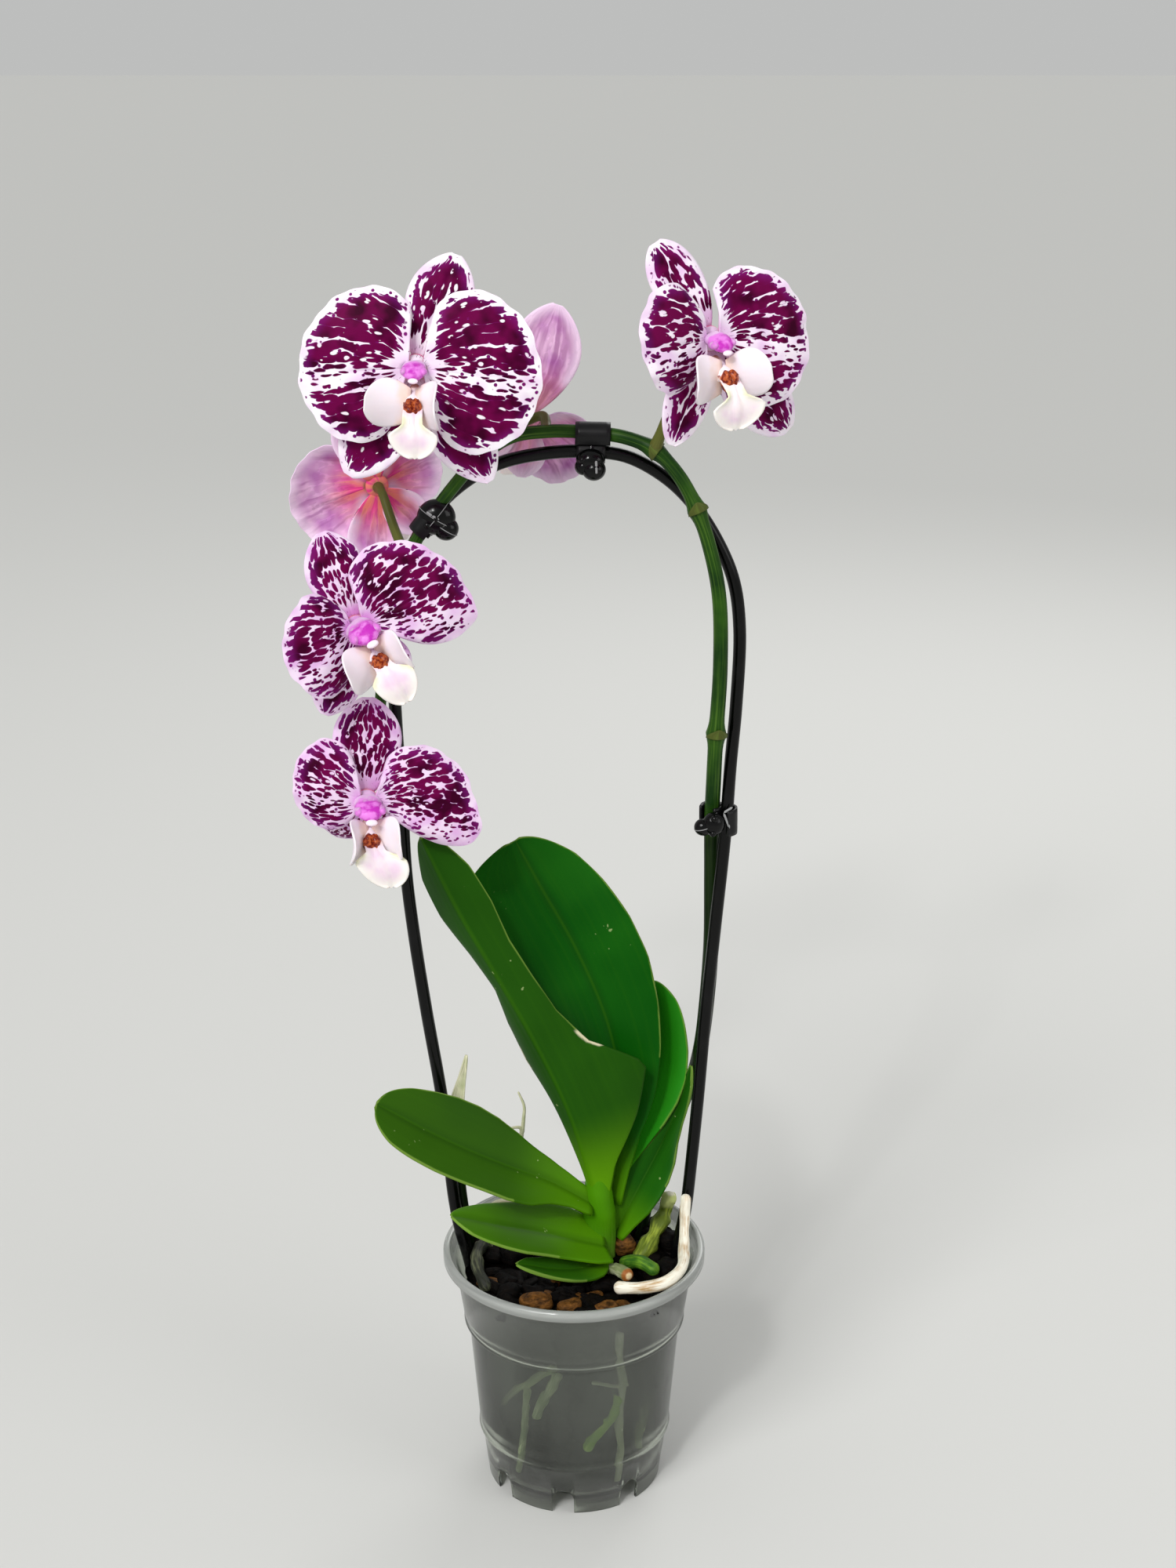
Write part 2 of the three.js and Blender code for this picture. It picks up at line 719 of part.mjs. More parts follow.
// Leaves: a midline, the way the upper face looks, and how far its halves fold up at the base and the tip.
// The half widths stand at even steps from base to tip.

const leaves = {
  leaf_1: {
    middle: [
      [12.5, 10, 98],
      [16.4, 13, 134],
      [11.8, 18, 161],
      [0.8, 24, 187],
      [-11.5, 30, 208],
      [-20, 34, 223],
    ],
    face: [0.1, -0.93, 0.35],
    right: [4, 5, 7, 12, 16, 19, 21.5, 21.5, 20, 17.5, 12],
    left: [4, 5, 8, 12, 15, 17.5, 19.5, 22, 25, 31, 30],
    fold: [26, 1],
  },
  leaf_2: {
    middle: [
      [9, 3.5, 100],
      [-1, 1, 137],
      [-13, 0, 165],
      [-25, -2, 189],
      [-36.5, -3, 211],
      [-48.8, -2, 237],
    ],
    face: [0.39, 0.92, -0.07],
    right: [2.6, 3.6, 6, 8, 11, 10, 6, 8.5, 12.5, 12.5, 7],
    left: [2.6, 9, 20.5, 30, 15.5, 11, 10, 9.5, 11, 10.5, 7],
    fold: [27, 27],
  },
  leaf_3: {
    middle: [
      [12.5, 13, 98],
      [21.5, 19.5, 121],
      [28.5, 26, 139],
      [30, 32, 157],
      [27.5, 36, 170],
    ],
    face: [-0.1, -0.92, 0.38],
    right: [3, 2.5, 4, 6.5, 9, 10.5, 11, 10.4, 9, 7.4, 5],
    left: [3, 3, 5, 8, 10, 11, 12, 12, 11, 9, 6],
    fold: [24, 10],
  },
  leaf_4: {
    middle: [
      [14, 8.5, 86],
      [22.5, 13, 102],
      [30.7, 17, 117.5],
      [36.6, 20.5, 131],
      [40.4, 22.6, 144],
    ],
    face: [-0.3, -0.88, 0.36],
    right: [4, 6, 8.6, 9.6, 9.6, 8.2, 5.6, 4.2, 3.6, 3, 1.6],
    left: [4, 5.5, 7.2, 8.2, 6, 4.4, 3, 2.2, 2, 2, 1.4],
    fold: [24, 14],
  },
  leaf_5: {
    middle: [
      [6, 3, 101],
      [-8.6, -1, 112],
      [-21.7, -4, 119],
      [-34.7, -7, 126.5],
      [-50, -9.5, 136],
      [-65.4, -11, 146.3],
    ],
    face: [0.3, -0.6, 0.74],
    right: [4, 5, 6.5, 9, 12.2, 14.6, 15.6, 15.2, 13.6, 11.6, 9],
    left: [5, 6, 9, 13.2, 14, 13.6, 13.5, 13.4, 12.8, 12, 10],
    fold: [20, 8],
  },
  leaf_6: {
    middle: [
      [10.5, -0.6, 86.4],
      [-8.5, -8, 95.2],
      [-24.1, -16, 103],
      [-40.5, -22, 110.6],
    ],
    face: [0.1, -0.3, 0.95],
    right: [9, 11.5, 13.5, 13.8, 13, 12.4, 11, 9.6, 8, 6, 4],
    left: [9, 11.2, 11.6, 11.8, 12, 12, 12, 10.8, 9.4, 8, 5],
    fold: [12, 4],
  },
  leaf_7: {
    middle: [
      [10, -3, 82],
      [3, -11.5, 84.4],
      [-7, -17.2, 87.4],
      [-19, -21, 92],
    ],
    face: [0.1, -0.35, 0.93],
    right: [4, 5, 6, 6, 6, 6, 5.5, 5, 4, 3.4, 2],
    left: [3, 5, 6.4, 6.6, 6.4, 6, 5.4, 4.6, 3.8, 3, 2],
    fold: [16, 6],
  },
};

// A value from a list whose entries stand at even steps from base to tip
function valueAlong(list, a) {
  const place = a * (list.length - 1);
  const i = Math.min(Math.floor(place), list.length - 2);
  return THREE.MathUtils.lerp(list[i], list[i + 1], place - i);
}

function leafSurface(leaf, grow) {
  const middle = curveThrough(leaf.middle);
  const face = v3(...leaf.face);
  return (a, b) => {
    const tangent = middle.getTangentAt(a);
    const beside = tangent.clone().cross(face).normalize();
    const out = beside.clone().cross(tangent).normalize();
    const half = valueAlong(b > 0 ? leaf.right : leaf.left, a) * Math.sqrt(1 - 0.98 * a ** 16) + grow;
    const fold = radians(leaf.fold[0] + (leaf.fold[1] - leaf.fold[0]) * a);
    return middle
      .getPointAt(a)
      .addScaledVector(beside, half * b * Math.cos(fold))
      .addScaledVector(out, half * Math.abs(b) ** 1.3 * Math.sin(fold));
  };
}

function leafSolid(leaf, grow) {
  const rows = stepsTo(0, 1, 8);
  return solidOf(blade(rows, evenSteps(4), leafSurface(leaf, grow), leafThickness + 2 * grow));
}

// The short stem that the leaves sheathe, with the young leaf pair on top: radii from foot to tip
const crownRadii = [4.8, 4.8, 5.1, 5.5, 5.3, 4.3, 2.6];

function crownSolid(grow) {
  const path = curveThrough([[9.6, 8, 70], [9.4, 7.6, 84], [8.6, 6, 98], [7.6, 5, 113.5]]);
  const radiusAt = (t) => valueAlong(crownRadii, t) + grow;
  return solidOf(rod(path, radiusAt, 10, 6));
}

// Each leaf is cut back from the crown and from the leaves before it, so that none crosses another.
function leafSolids() {
  const made = {};
  let taken = crownSolid(clearance);
  for (const [name, leaf] of Object.entries(leaves)) {
    made[name] = biggest(leafSolid(leaf, 0).subtract(taken));
    taken = taken.add(leafSolid(leaf, clearance));
  }
  return { made, taken };
}

// A dry papery bract that stands behind the left leaf, on its short green stub
const bractShape = {
  stub: [[-34, 8.6, 72], [-37.4, 10, 88], [-39.4, 12.4, 104], [-41, 17.4, 130]],
  tip: [-36.9, 18, 150.2],
  half: 2.9,
};

function bractSolid() {
  const stub = rod(curveThrough(bractShape.stub), tapered(2.2, 1.3), 6, 5);
  const root = v3(...bractShape.stub[3]).add(v3(-0.2, 0, 0));
  const tip = v3(...bractShape.tip);
  const surface = (a, b) => {
    const half = bractShape.half * (1 - 0.86 * a) * Math.min(1, 0.55 + 3 * a);
    return root.clone().lerp(tip, a).add(v3(half * b, -1.2 * b * b * (1 - a), 0));
  };
  return biggest(join([solidOf(stub), solidOf(blade([0, 0.2, 0.6, 1], evenSteps(2), surface, 1))]));
}

// A dry forked wisp behind the left leaf
const wispShape = {
  stalk: [[-20, 18, 74], [-19.6, 17, 105], [-18, 15, 124]],
  forks: [
    [[-18, 15, 122], [-17.4, 14.4, 128], [-17.2, 14, 133], [-19.2, 14, 138.4]],
    [[-18, 15, 121], [-18.6, 14.4, 124.4], [-20.2, 14, 124.8], [-22.6, 14, 124.2]],
  ],
};

function wispSolid() {
  const stalk = solidOf(rod(curveThrough(wispShape.stalk), steady(0.8), 5, 3));
  const forks = wispShape.forks.map((path) => solidOf(rod(curveThrough(path), tapered(0.8, 0.35), 5, 4)));
  return biggest(join([stalk, ...forks]));
}

// Roots that lie on the mix or stand at the rim
const roots = {
  root_white: {
    path: [
      [13.5, -22.7, 84],
      [23.1, -25.2, 85.4],
      [31, -24.4, 87],
      [36.2, -18, 88.4],
      [37.6, -6, 89],
      [37.9, 0, 93],
      [38.4, 3, 105],
    ],
    radii: [2.2, 1.7],
    colour: colours.dryRoot,
  },
  root_cut: {
    path: [
      [11.4, -3, 79],
      [14.6, -8.6, 82.6],
      [18.8, -16.4, 84.4],
    ],
    radii: [1.7, 2.5],
    colour: colours.greyRoot,
  },
  root_green: {
    path: [
      [16.5, 1.4, 79],
      [23.1, -5.9, 83.6],
      [28.6, -11.4, 83],
    ],
    radii: [2.5, 2.3],
    colour: colours.greenRoot,
  },
  root_knobbly: {
    path: [
      [22, 2, 79],
      [26, 6.4, 83.6],
      [29.2, 11.4, 87],
      [31.6, 15.6, 91],
      [33.6, 15.4, 99],
    ],
    radii: [3.1, 2.4],
    colour: colours.greenRoot,
  },
  root_silver: {
    path: [
      [-27, 6, 76],
      [-31, 9, 81.6],
      [-33.4, 3, 82.6],
      [-32.6, -8, 81.4],
      [-29, -15, 78],
    ],
    radii: [2.3, 2],
    colour: colours.greyRoot,
  },
  root_back: {
    path: [
      [-32, 17, 79],
      [-30.4, 22.6, 87],
      [-26.6, 24.2, 89.6],
      [-22.5, 26.4, 87.6],
      [-18, 28, 78],
    ],
    radii: [1.6, 1.6],
    colour: colours.dryRoot,
  },
};

function rootSolid(root, grow) {
  const bumps = (t) => 1 + 0.1 * Math.sin(19 * t + root.radii[0]);
  const radiusAt = (t) => tapered(...root.radii)(t) * bumps(t) + grow;
  return solidOf(rod(curveThrough(root.path), radiusAt, 6, root.path.length + 2));
}

// Potting mix: bark that fills the pot, with a knobbly top, cut clear of what stands in it
function mixSolid() {
  const inside = (z) => potOuterAt(z) - pot.wall - clearance;
  const floor = pot.floorTop + clearance;
  const well = 1.5 + clearance;
  const side = [
    [pot.discRadius - 1, well],
    [pot.discRadius + 0.2, floor],
    [inside(floor), floor],
    [inside(pot.lowerRingZ), pot.lowerRingZ],
    [inside(pot.upperRingZ - 1.4), pot.upperRingZ - 1.4],
    [inside(pot.upperRingZ + 1.2), pot.upperRingZ + 1.2],
    [inside(mix.top - 1.5), mix.top - 1.5],
  ];
  const rings = side.map(([r, z]) => mixRing(r, () => z));
  [...mix.rings].reverse().forEach((r, i) => {
    rings.push(mixRing(r, (k) => mix.top + mix.bump * hash(k * 7.3 + i * 31.7)));
  });
  return solidOf(loft(rings));
}

function mixRing(radius, heightAt) {
  return Array.from({ length: mix.sectors }, (_, k) => {
    const turn = (2 * Math.PI * k) / mix.sectors;
    return v3(radius * Math.cos(turn), radius * Math.sin(turn), heightAt(k));
  });
}

// Bark chips that stand out of the mix, as low faceted lumps
const chips = [
  { at: [-12.2, -27.3, 80.6], size: [5, 3.6, 2.8], turn: 10 },
  { at: [-1.2, -29.6, 80.2], size: [3.6, 3, 2.6], turn: 40 },
  { at: [11.3, -29.2, 79.6], size: [4, 3, 2.4], turn: -20 },
  { at: [17.4, 8.4, 81.4], size: [4, 3.6, 3.4], turn: 0 },
  { at: [31.5, -4.6, 80.4], size: [4.4, 3.6, 3], turn: 60 },
  { at: [-22, -20, 79.6], size: [4.4, 3.4, 2.6], turn: 25 },
  { at: [-8, 30, 80], size: [5, 4, 3.4], turn: 15 },
  { at: [12, 31, 80], size: [4.4, 3.4, 3], turn: 70 },
  { at: [-20, 4, 80], size: [4.6, 3.8, 3], turn: 35 },
];

function chipSolid(chip) {
  const lump = new THREE.DodecahedronGeometry(1, 0);
  lump.scale(...chip.size);
  lump.rotateZ(radians(chip.turn));
  lump.translate(...chip.at);
  return solidOf(lump);
}

// Assembly
const orchid = new THREE.Group();

function place(name, solid, look, pose) {
  const mesh = new THREE.Mesh(geometryOf(solid), look);
  mesh.name = name;
  if (pose) mesh.applyMatrix4(pose);
  orchid.add(mesh);
}

const looks = {
  pot: material(colours.pot, 0.35),
  mix: material(colours.mix, 0.95),
  leaf: material(colours.leaf, 0.35),
  youngLeaf: material(colours.youngLeaf, 0.4),
  stem: material(colours.stem, 0.45),
  wire: material(colours.wire, 0.2),
  petal: material(colours.petal, 0.55),
  lip: material(colours.lip, 0.5),
  callus: material(colours.callus, 0.4),
  column: material(colours.column, 0.45),
  bract: material(colours.bract, 0.8),
};

place('pot', potSolid(), looks.pot);
place('wire_hoop', hoopSolid(), looks.wire);
place('flower_stem', stemSolid(), looks.stem);
place('crown', crownSolid(0), looks.youngLeaf);

const stemPath = curveThrough(stemPoints);
const hoopPath = curveThrough(hoopPoints);
const roomRound = (path, radiusAt, sides, steps) => {
  const wider = (t) => radiusAt(t) + wireRoom;
  return solidOf(rod(path, wider, sides, steps));
};
const stemRoom = roomRound(stemPath, stemRadiusAt, 8, stemSize.steps);
const hoopRoom = roomRound(hoopPath, steady(hoopWire.radius), 8, hoopWire.steps);
const wires = stemRoom.add(hoopRoom);

const { made, taken } = leafSolids();
for (const [name, solid] of Object.entries(made)) {
  place(name, biggest(solid.subtract(wires)), looks.leaf);
}

const rootCuts = [];
for (const [name, root] of Object.entries(roots)) {
  const clear = rootCuts.reduce((body, cut) => body.subtract(cut), rootSolid(root, 0));
  place(name, biggest(clear.subtract(taken).subtract(wires)), material(root.colour, 0.7));
  rootCuts.push(rootSolid(root, clearance));
}

place('dry_bract', biggest(bractSolid().subtract(wires).subtract(taken)), looks.bract);
place('dry_wisp', biggest(wispSolid().subtract(taken)), looks.bract);

// What stands in the mix, each with room round it
const stubRoom = roomRound(curveThrough(bractShape.stub), tapered(2.2, 1.3), 6, 5);
const wispRoom = roomRound(curveThrough(wispShape.stalk), steady(0.8), 5, 3);
const standing = join([taken, wires, stubRoom, wispRoom, ...rootCuts]);
place('bark_mix', biggest(mixSolid().add(join(chips.map(chipSolid))).subtract(standing)), looks.mix);

for (const [name, clip] of Object.entries(clips)) {
  place(name, biggest(clipSolid(clip).subtract(wires)), looks.wire);
}

for (const [name, bloom] of Object.entries(blooms)) {
  const pose = bloomPose(bloom);
  place(`${name}_tepals`, tepalsSolid(bloom), looks.petal, pose);
  place(`${name}_lip`, lipSolid(bloom), looks.lip, pose);
  place(`${name}_callus`, callusSolid(0), looks.callus, pose);
  place(`${name}_column`, columnSolid(bloom.column), looks.column, pose);
}

export default orchid;
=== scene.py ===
import math
import random
from functools import partial

import bpy
import numpy as np
from mathutils import Matrix, Vector, noise


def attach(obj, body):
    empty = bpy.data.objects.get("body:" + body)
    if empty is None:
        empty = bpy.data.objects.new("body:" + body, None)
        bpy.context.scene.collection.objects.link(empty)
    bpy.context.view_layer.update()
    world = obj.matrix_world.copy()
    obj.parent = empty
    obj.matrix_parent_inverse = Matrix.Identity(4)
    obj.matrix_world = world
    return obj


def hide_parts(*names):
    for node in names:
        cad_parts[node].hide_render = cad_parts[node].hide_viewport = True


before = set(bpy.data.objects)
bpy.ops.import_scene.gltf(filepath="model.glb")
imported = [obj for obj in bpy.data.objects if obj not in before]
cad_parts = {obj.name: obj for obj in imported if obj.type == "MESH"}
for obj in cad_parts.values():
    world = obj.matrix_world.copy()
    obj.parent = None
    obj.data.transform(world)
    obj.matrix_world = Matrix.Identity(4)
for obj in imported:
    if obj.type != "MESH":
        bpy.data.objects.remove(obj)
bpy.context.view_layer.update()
mm = 0.001  # every length below is in millimetres until a mesh is made
random.seed(11)
print("frame loaded")


# small tools for nodes
def linearColour(hexText):
    parts = [int(hexText[i:i + 2], 16) / 255 for i in (1, 3, 5)]
    return [c / 12.92 if c <= 0.04045 else ((c + 0.055) / 1.055) ** 2.4 for c in parts] + [1.0]


# inputs come as a list in the node's own order, or by name
def addNode(tree, kind, inputs=(), out=0, **settings):
    node = tree.nodes.new("ShaderNode" + kind)
    for name, value in settings.items():
        setattr(node, name, value)
    for key, value in inputs.items() if isinstance(inputs, dict) else enumerate(inputs):
        if isinstance(value, bpy.types.NodeSocket):
            tree.links.new(value, node.inputs[key])
        else:
            node.inputs[key].default_value = linearColour(value) if isinstance(value, str) else value
    return node.outputs[out] if node.outputs else None


# a material, what adds its nodes, and the place of each point on the object, in metres
def newMaterial(name):
    material = bpy.data.materials.new(name)
    material.use_nodes = True
    material.node_tree.nodes.clear()
    add = partial(addNode, material.node_tree)
    return material, add, add("TexCoord", out="Object")


# settings that many nodes share
smooth = {"interpolation_type": "SMOOTHSTEP"}
plus, minus, times, timesPlus, least, most, bare = (
    {"operation": word}
    for word in ("ADD", "SUBTRACT", "MULTIPLY", "MULTIPLY_ADD", "MINIMUM", "MAXIMUM", "ABSOLUTE"))


# what a mesh point carries: its marks, then the three numbers in them
def readMarks(add):
    marks = add("Attribute", attribute_name="marks", out="Vector")
    return marks, *add("SeparateXYZ", [marks]).node.outputs


# colours laid over one another, each as far as its value has gone from start to stop
def laid(add, colour, *layers):
    for value, start, stop, first, last, over in layers:
        colour = add("MixRGB", [add("MapRange", [value, start, stop, first, last], **smooth), colour, over])
    return colour


# closes a material with its shader and output; bump: height, strength and depth in metres
def closed(material, add, colour, roughness, ior, gloss, bump=(), more=()):
    values = {"Base Color": colour, "Roughness": roughness, "IOR": ior, "Specular IOR Level": gloss}
    values.update(more)
    if bump:
        values["Normal"] = add("Bump", dict(zip(("Height", "Strength", "Distance"), bump)))
    add("OutputMaterial", {"Surface": add("BsdfPrincipled", values)})
    return material


# curves, the same centripetal splines as the solids have
def splineTable(points, steps=60):
    points = np.array(points, float)
    ends = np.vstack([2 * points[0] - points[1], points, 2 * points[-1] - points[-2]])
    w = np.linspace(0, 1, steps, endpoint=False)[:, None]
    table = []
    for p0, p1, p2, p3 in zip(ends, ends[1:], ends[2:], ends[3:]):
        d0, d1, d2 = [np.linalg.norm(q - p) ** 0.5 for p, q in ((p0, p1), (p1, p2), (p2, p3))]
        t1 = ((p1 - p0) / d0 - (p2 - p0) / (d0 + d1) + (p2 - p1) / d1) * d1
        t2 = ((p2 - p1) / d1 - (p3 - p1) / (d1 + d2) + (p3 - p2) / d2) * d1
        cubic = 2 * p1 - 2 * p2 + t1 + t2
        square = -3 * p1 + 3 * p2 - 2 * t1 - t2
        table.append(p1 + t1 * w + square * w ** 2 + cubic * w ** 3)
    return np.vstack(table + [points[-1:]])


def unit(vectors):
    return vectors / np.maximum(np.linalg.norm(vectors, axis=-1, keepdims=True), 1e-9)


# millimetres from the first place to each one
def lengthsAlong(places):
    return np.concatenate([[0], np.cumsum(np.linalg.norm(np.diff(places, axis=0), axis=1))])


# places and directions at shares of a spline, even in length unless told otherwise
def alongSpline(points, shares, even=True):
    table = splineTable(points)
    keys = lengthsAlong(table) if even else np.arange(len(table))
    keys = keys / keys[-1]
    ahead = unit(np.gradient(table, axis=0))
    place = np.stack([np.interp(shares, keys, table[:, k]) for k in range(3)], -1)
    return place, unit(np.stack([np.interp(shares, keys, ahead[:, k]) for k in range(3)], -1))


# shares that crowd toward the tip of a blade
def tipShares(count, first=0.0, reach=1.0):
    return first + reach * np.sin(np.linspace(0, math.pi / 2, count))


# where it is to go from a place, by an amount along each direction
def offBy(place, *steps):
    for direction, amount in steps:
        place = place + direction * amount[..., None]
    return place


# closed mesh parts: points, faces, marks (three numbers a point) and side (1 upper, -1 under)
# a blade's marks are a function of its shares, or just its length and half width
def bladePart(shares, across, surface, thickness, marksAt, look=0):
    if isinstance(across, int):
        across = np.linspace(-1, 1, across)
    a, b = np.meshgrid(shares, across, indexing="ij")
    step = 1e-3
    middle = surface(a, b)
    alongA = surface(np.minimum(a + step, 1), b) - surface(np.maximum(a - step, 0), b)
    acrossB = surface(a, np.minimum(b + step, 1)) - surface(a, np.maximum(b - step, -1))
    lift = unit(np.cross(alongA, acrossB)) * (thickness(a, b) / 2)[..., None]
    points = np.concatenate([(middle + lift).reshape(-1, 3), (middle - lift).reshape(-1, 3)])
    count = a.size
    grid = np.arange(count).reshape(a.shape)
    top = np.stack([grid[:-1, :-1], grid[1:, :-1], grid[1:, 1:], grid[:-1, 1:]], -1).reshape(-1, 4)
    loop = np.concatenate([grid[0], grid[1:, -1], grid[-1, -2::-1], grid[-2:0:-1, 0]])
    after = np.roll(loop, -1)
    rim = np.stack([loop, after, after + count, loop + count], -1)
    faces = np.concatenate([top, top[:, ::-1] + count, rim]).tolist()
    # the rim that is seen: everything but the root end
    seen = np.concatenate([middle[-1], middle[len(shares) // 4:, 0], middle[len(shares) // 4:, -1]])
    edge = np.concatenate([np.linalg.norm(part[:, None] - seen, axis=-1).min(1)
                           for part in np.array_split(middle.reshape(-1, 3), 8)])
    first, second = marksAt(a, b) if callable(marksAt) else (marksAt[0] * a, marksAt[1] * b)
    marks = np.stack([first.ravel(), second.ravel(), edge], -1)
    side = np.concatenate([np.ones(count), -np.ones(count)])
    return points, faces, np.concatenate([marks, marks]), side, look


# a blade is as thick as its shape says where share is 1, and thins to its rim where share is 0
def thinned(shape, share):
    return shape["rim"] + (shape["thick"] - shape["rim"]) * share


# walls between closed rings of points, and a cap at either end
def ringFaces(rings, sides):
    grid = np.arange(rings * sides).reshape(rings, sides)
    after = np.roll(grid, -1, axis=1)
    walls = np.stack([grid[:-1], after[:-1], after[1:], grid[1:]], -1).reshape(-1, 4)
    return walls.tolist() + [grid[0, ::-1].tolist(), grid[-1].tolist()]


# a rod through places with a radius at each; marks: mm from the start, turn in degrees, share of the length
def rodPart(places, radii, sides, look=0, spoke=None):
    places = np.array(places, float)
    ahead = unit(np.gradient(places, axis=0))
    beside = np.cross(ahead[0], spoke or ([0.3, 0.9, 0.1] if abs(ahead[0][1]) < 0.9 else [1, 0, 0]))
    turn = np.linspace(0, 2 * math.pi, sides, endpoint=False)
    rings = []
    for place, forward, radius in zip(places, ahead, radii):
        beside = unit(beside - forward * np.dot(beside, forward))
        up = np.cross(forward, beside)
        rings.append(place + (np.cos(turn)[:, None] * beside + np.sin(turn)[:, None] * up)
                     * np.broadcast_to(radius, turn.shape)[:, None])
    length = np.repeat(lengthsAlong(places), sides)
    marks = np.stack([length, np.tile(np.degrees(turn), len(places)), length / length[-1]], -1)
    return np.concatenate(rings), ringFaces(len(places), sides), marks, np.ones(len(marks)), look


# radii that close a rod with round ends
def roundedEnds(places, radii, start=True, end=True):
    length = lengthsAlong(places)
    radii = np.array(radii, float)
    for wanted, distance in ((start, length), (end, length[-1] - length)):
        if wanted:
            inside = np.clip(1 - distance / radii, 0, 1)
            radii = radii * np.sqrt(np.maximum(1 - inside ** 2, 0.0004))
    return radii


# shares that crowd at both ends, for rods that close round
def crowdedShares(count):
    return (1 - np.cos(np.linspace(0, math.pi, count))) / 2


# a ball, egg or block: boxy below 1 flattens the faces, rough pushes it about
def lumpPart(at, size, turn=None, boxy=1.0, rough=0.0, grain=0.3, rings=12, sides=20, seed=0, look=0):
    tilt = np.linspace(0, math.pi, rings + 1)
    spin = np.linspace(0, 2 * math.pi, sides, endpoint=False)
    bend = lambda v: np.sign(v) * np.abs(v) ** boxy
    t, s = np.meshgrid(tilt, spin, indexing="ij")
    level = bend(np.sin(t))
    ball = np.stack([level * bend(np.cos(s)), level * bend(np.sin(s)), bend(np.cos(t))], -1).reshape(-1, 3)
    points = ball * np.array(size, float)
    if rough:
        pushes = [noise.noise(Vector(p) * grain + Vector((seed, 0, 0))) for p in points]
        points = np.array([p * (1 + rough * push) for p, push in zip(points, pushes)])
    if turn is not None:
        points = points @ np.array(turn.to_3x3()).T
    grid = np.arange(t.size).reshape(t.shape)
    nextOne = np.roll(grid, -1, axis=1)
    faces = np.stack([grid[:-1], grid[1:], nextOne[1:], nextOne[:-1]], -1).reshape(-1, 4)
    return points + np.array(at), faces.tolist(), ball, np.ones(t.size), look


def rotation(degrees, axis, size=3):
    return Matrix.Rotation(math.radians(degrees), size, axis)


def addObject(name, data):
    thing = bpy.data.objects.new(name, data)
    bpy.context.scene.collection.objects.link(thing)
    return thing


def moved(part, pose):
    matrix = np.array(pose)
    return (part[0] @ matrix[:3, :3].T + matrix[:3, 3],) + part[1:]


# the same part with another side, or other marks, all over or point by point
def labelled(part, side=None, marks=None):
    points, faces, oldMarks, oldSide, look = part
    marks = oldMarks if marks is None else oldMarks * 0 + marks
    return points, faces, marks, oldSide if side is None else oldSide * 0 + side, look


def makePiece(name, parts, looks, slotName, *nodes):
    points, faces, marks, side, look = [], [], [], [], []
    count = 0
    for partPoints, partFaces, partMarks, partSide, partLook in parts:
        points.append(partPoints)
        faces += [[i + count for i in face] for face in partFaces]
        marks.append(partMarks)
        side.append(partSide)
        look += [partLook] * len(partFaces)
        count += len(partPoints)
    mesh = bpy.data.meshes.new(name)
    mesh.from_pydata((np.concatenate(points) * mm).tolist(), [], faces)
    told = (("marks", "FLOAT_VECTOR", "vector", marks), ("side", "FLOAT", "value", side))
    for title, kind, key, numbers in told:
        mesh.attributes.new(title, kind, "POINT").data.foreach_set(key, np.concatenate(numbers).ravel())
    mesh.polygons.foreach_set("material_index", look)
    for material in looks:
        mesh.materials.append(material)
    mesh.shade_smooth()
    mesh.validate()
    mesh.update()
    piece = addObject(name, mesh)
    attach(piece, "root")
    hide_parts(*nodes)
    return piece


# blooms: orchid petals
petalFinish = {
    "plum": "#660440",
    "deepPlum": "#380120",
    "violet": "#7d1c78",
    "white": "#f6eff6",
    "lilac": "#d59ad8",
    "foldedTip": "#b58acb",
    "backPink": "#f7cbee",
    "backLilac": "#cd8ccc",
    "backVein": "#93428c",
    "hotPink": "#e0367f",
    "salmon": "#ee8a68",
    "clawPink": "#d77fd4",
    "stalkEnd": "#8f8a4a",
    "backSpot": "#8a3a8c",
    "backMargin": "#f9e2f7",
    "dot": 2.4,
    "roughness": 0.5,
    "ior": 1.42,
    "gloss": 0.04,
    "flesh": {"Subsurface Weight": 0.06, "Subsurface Radius": (0.001, 0.0005, 0.0005)},
}


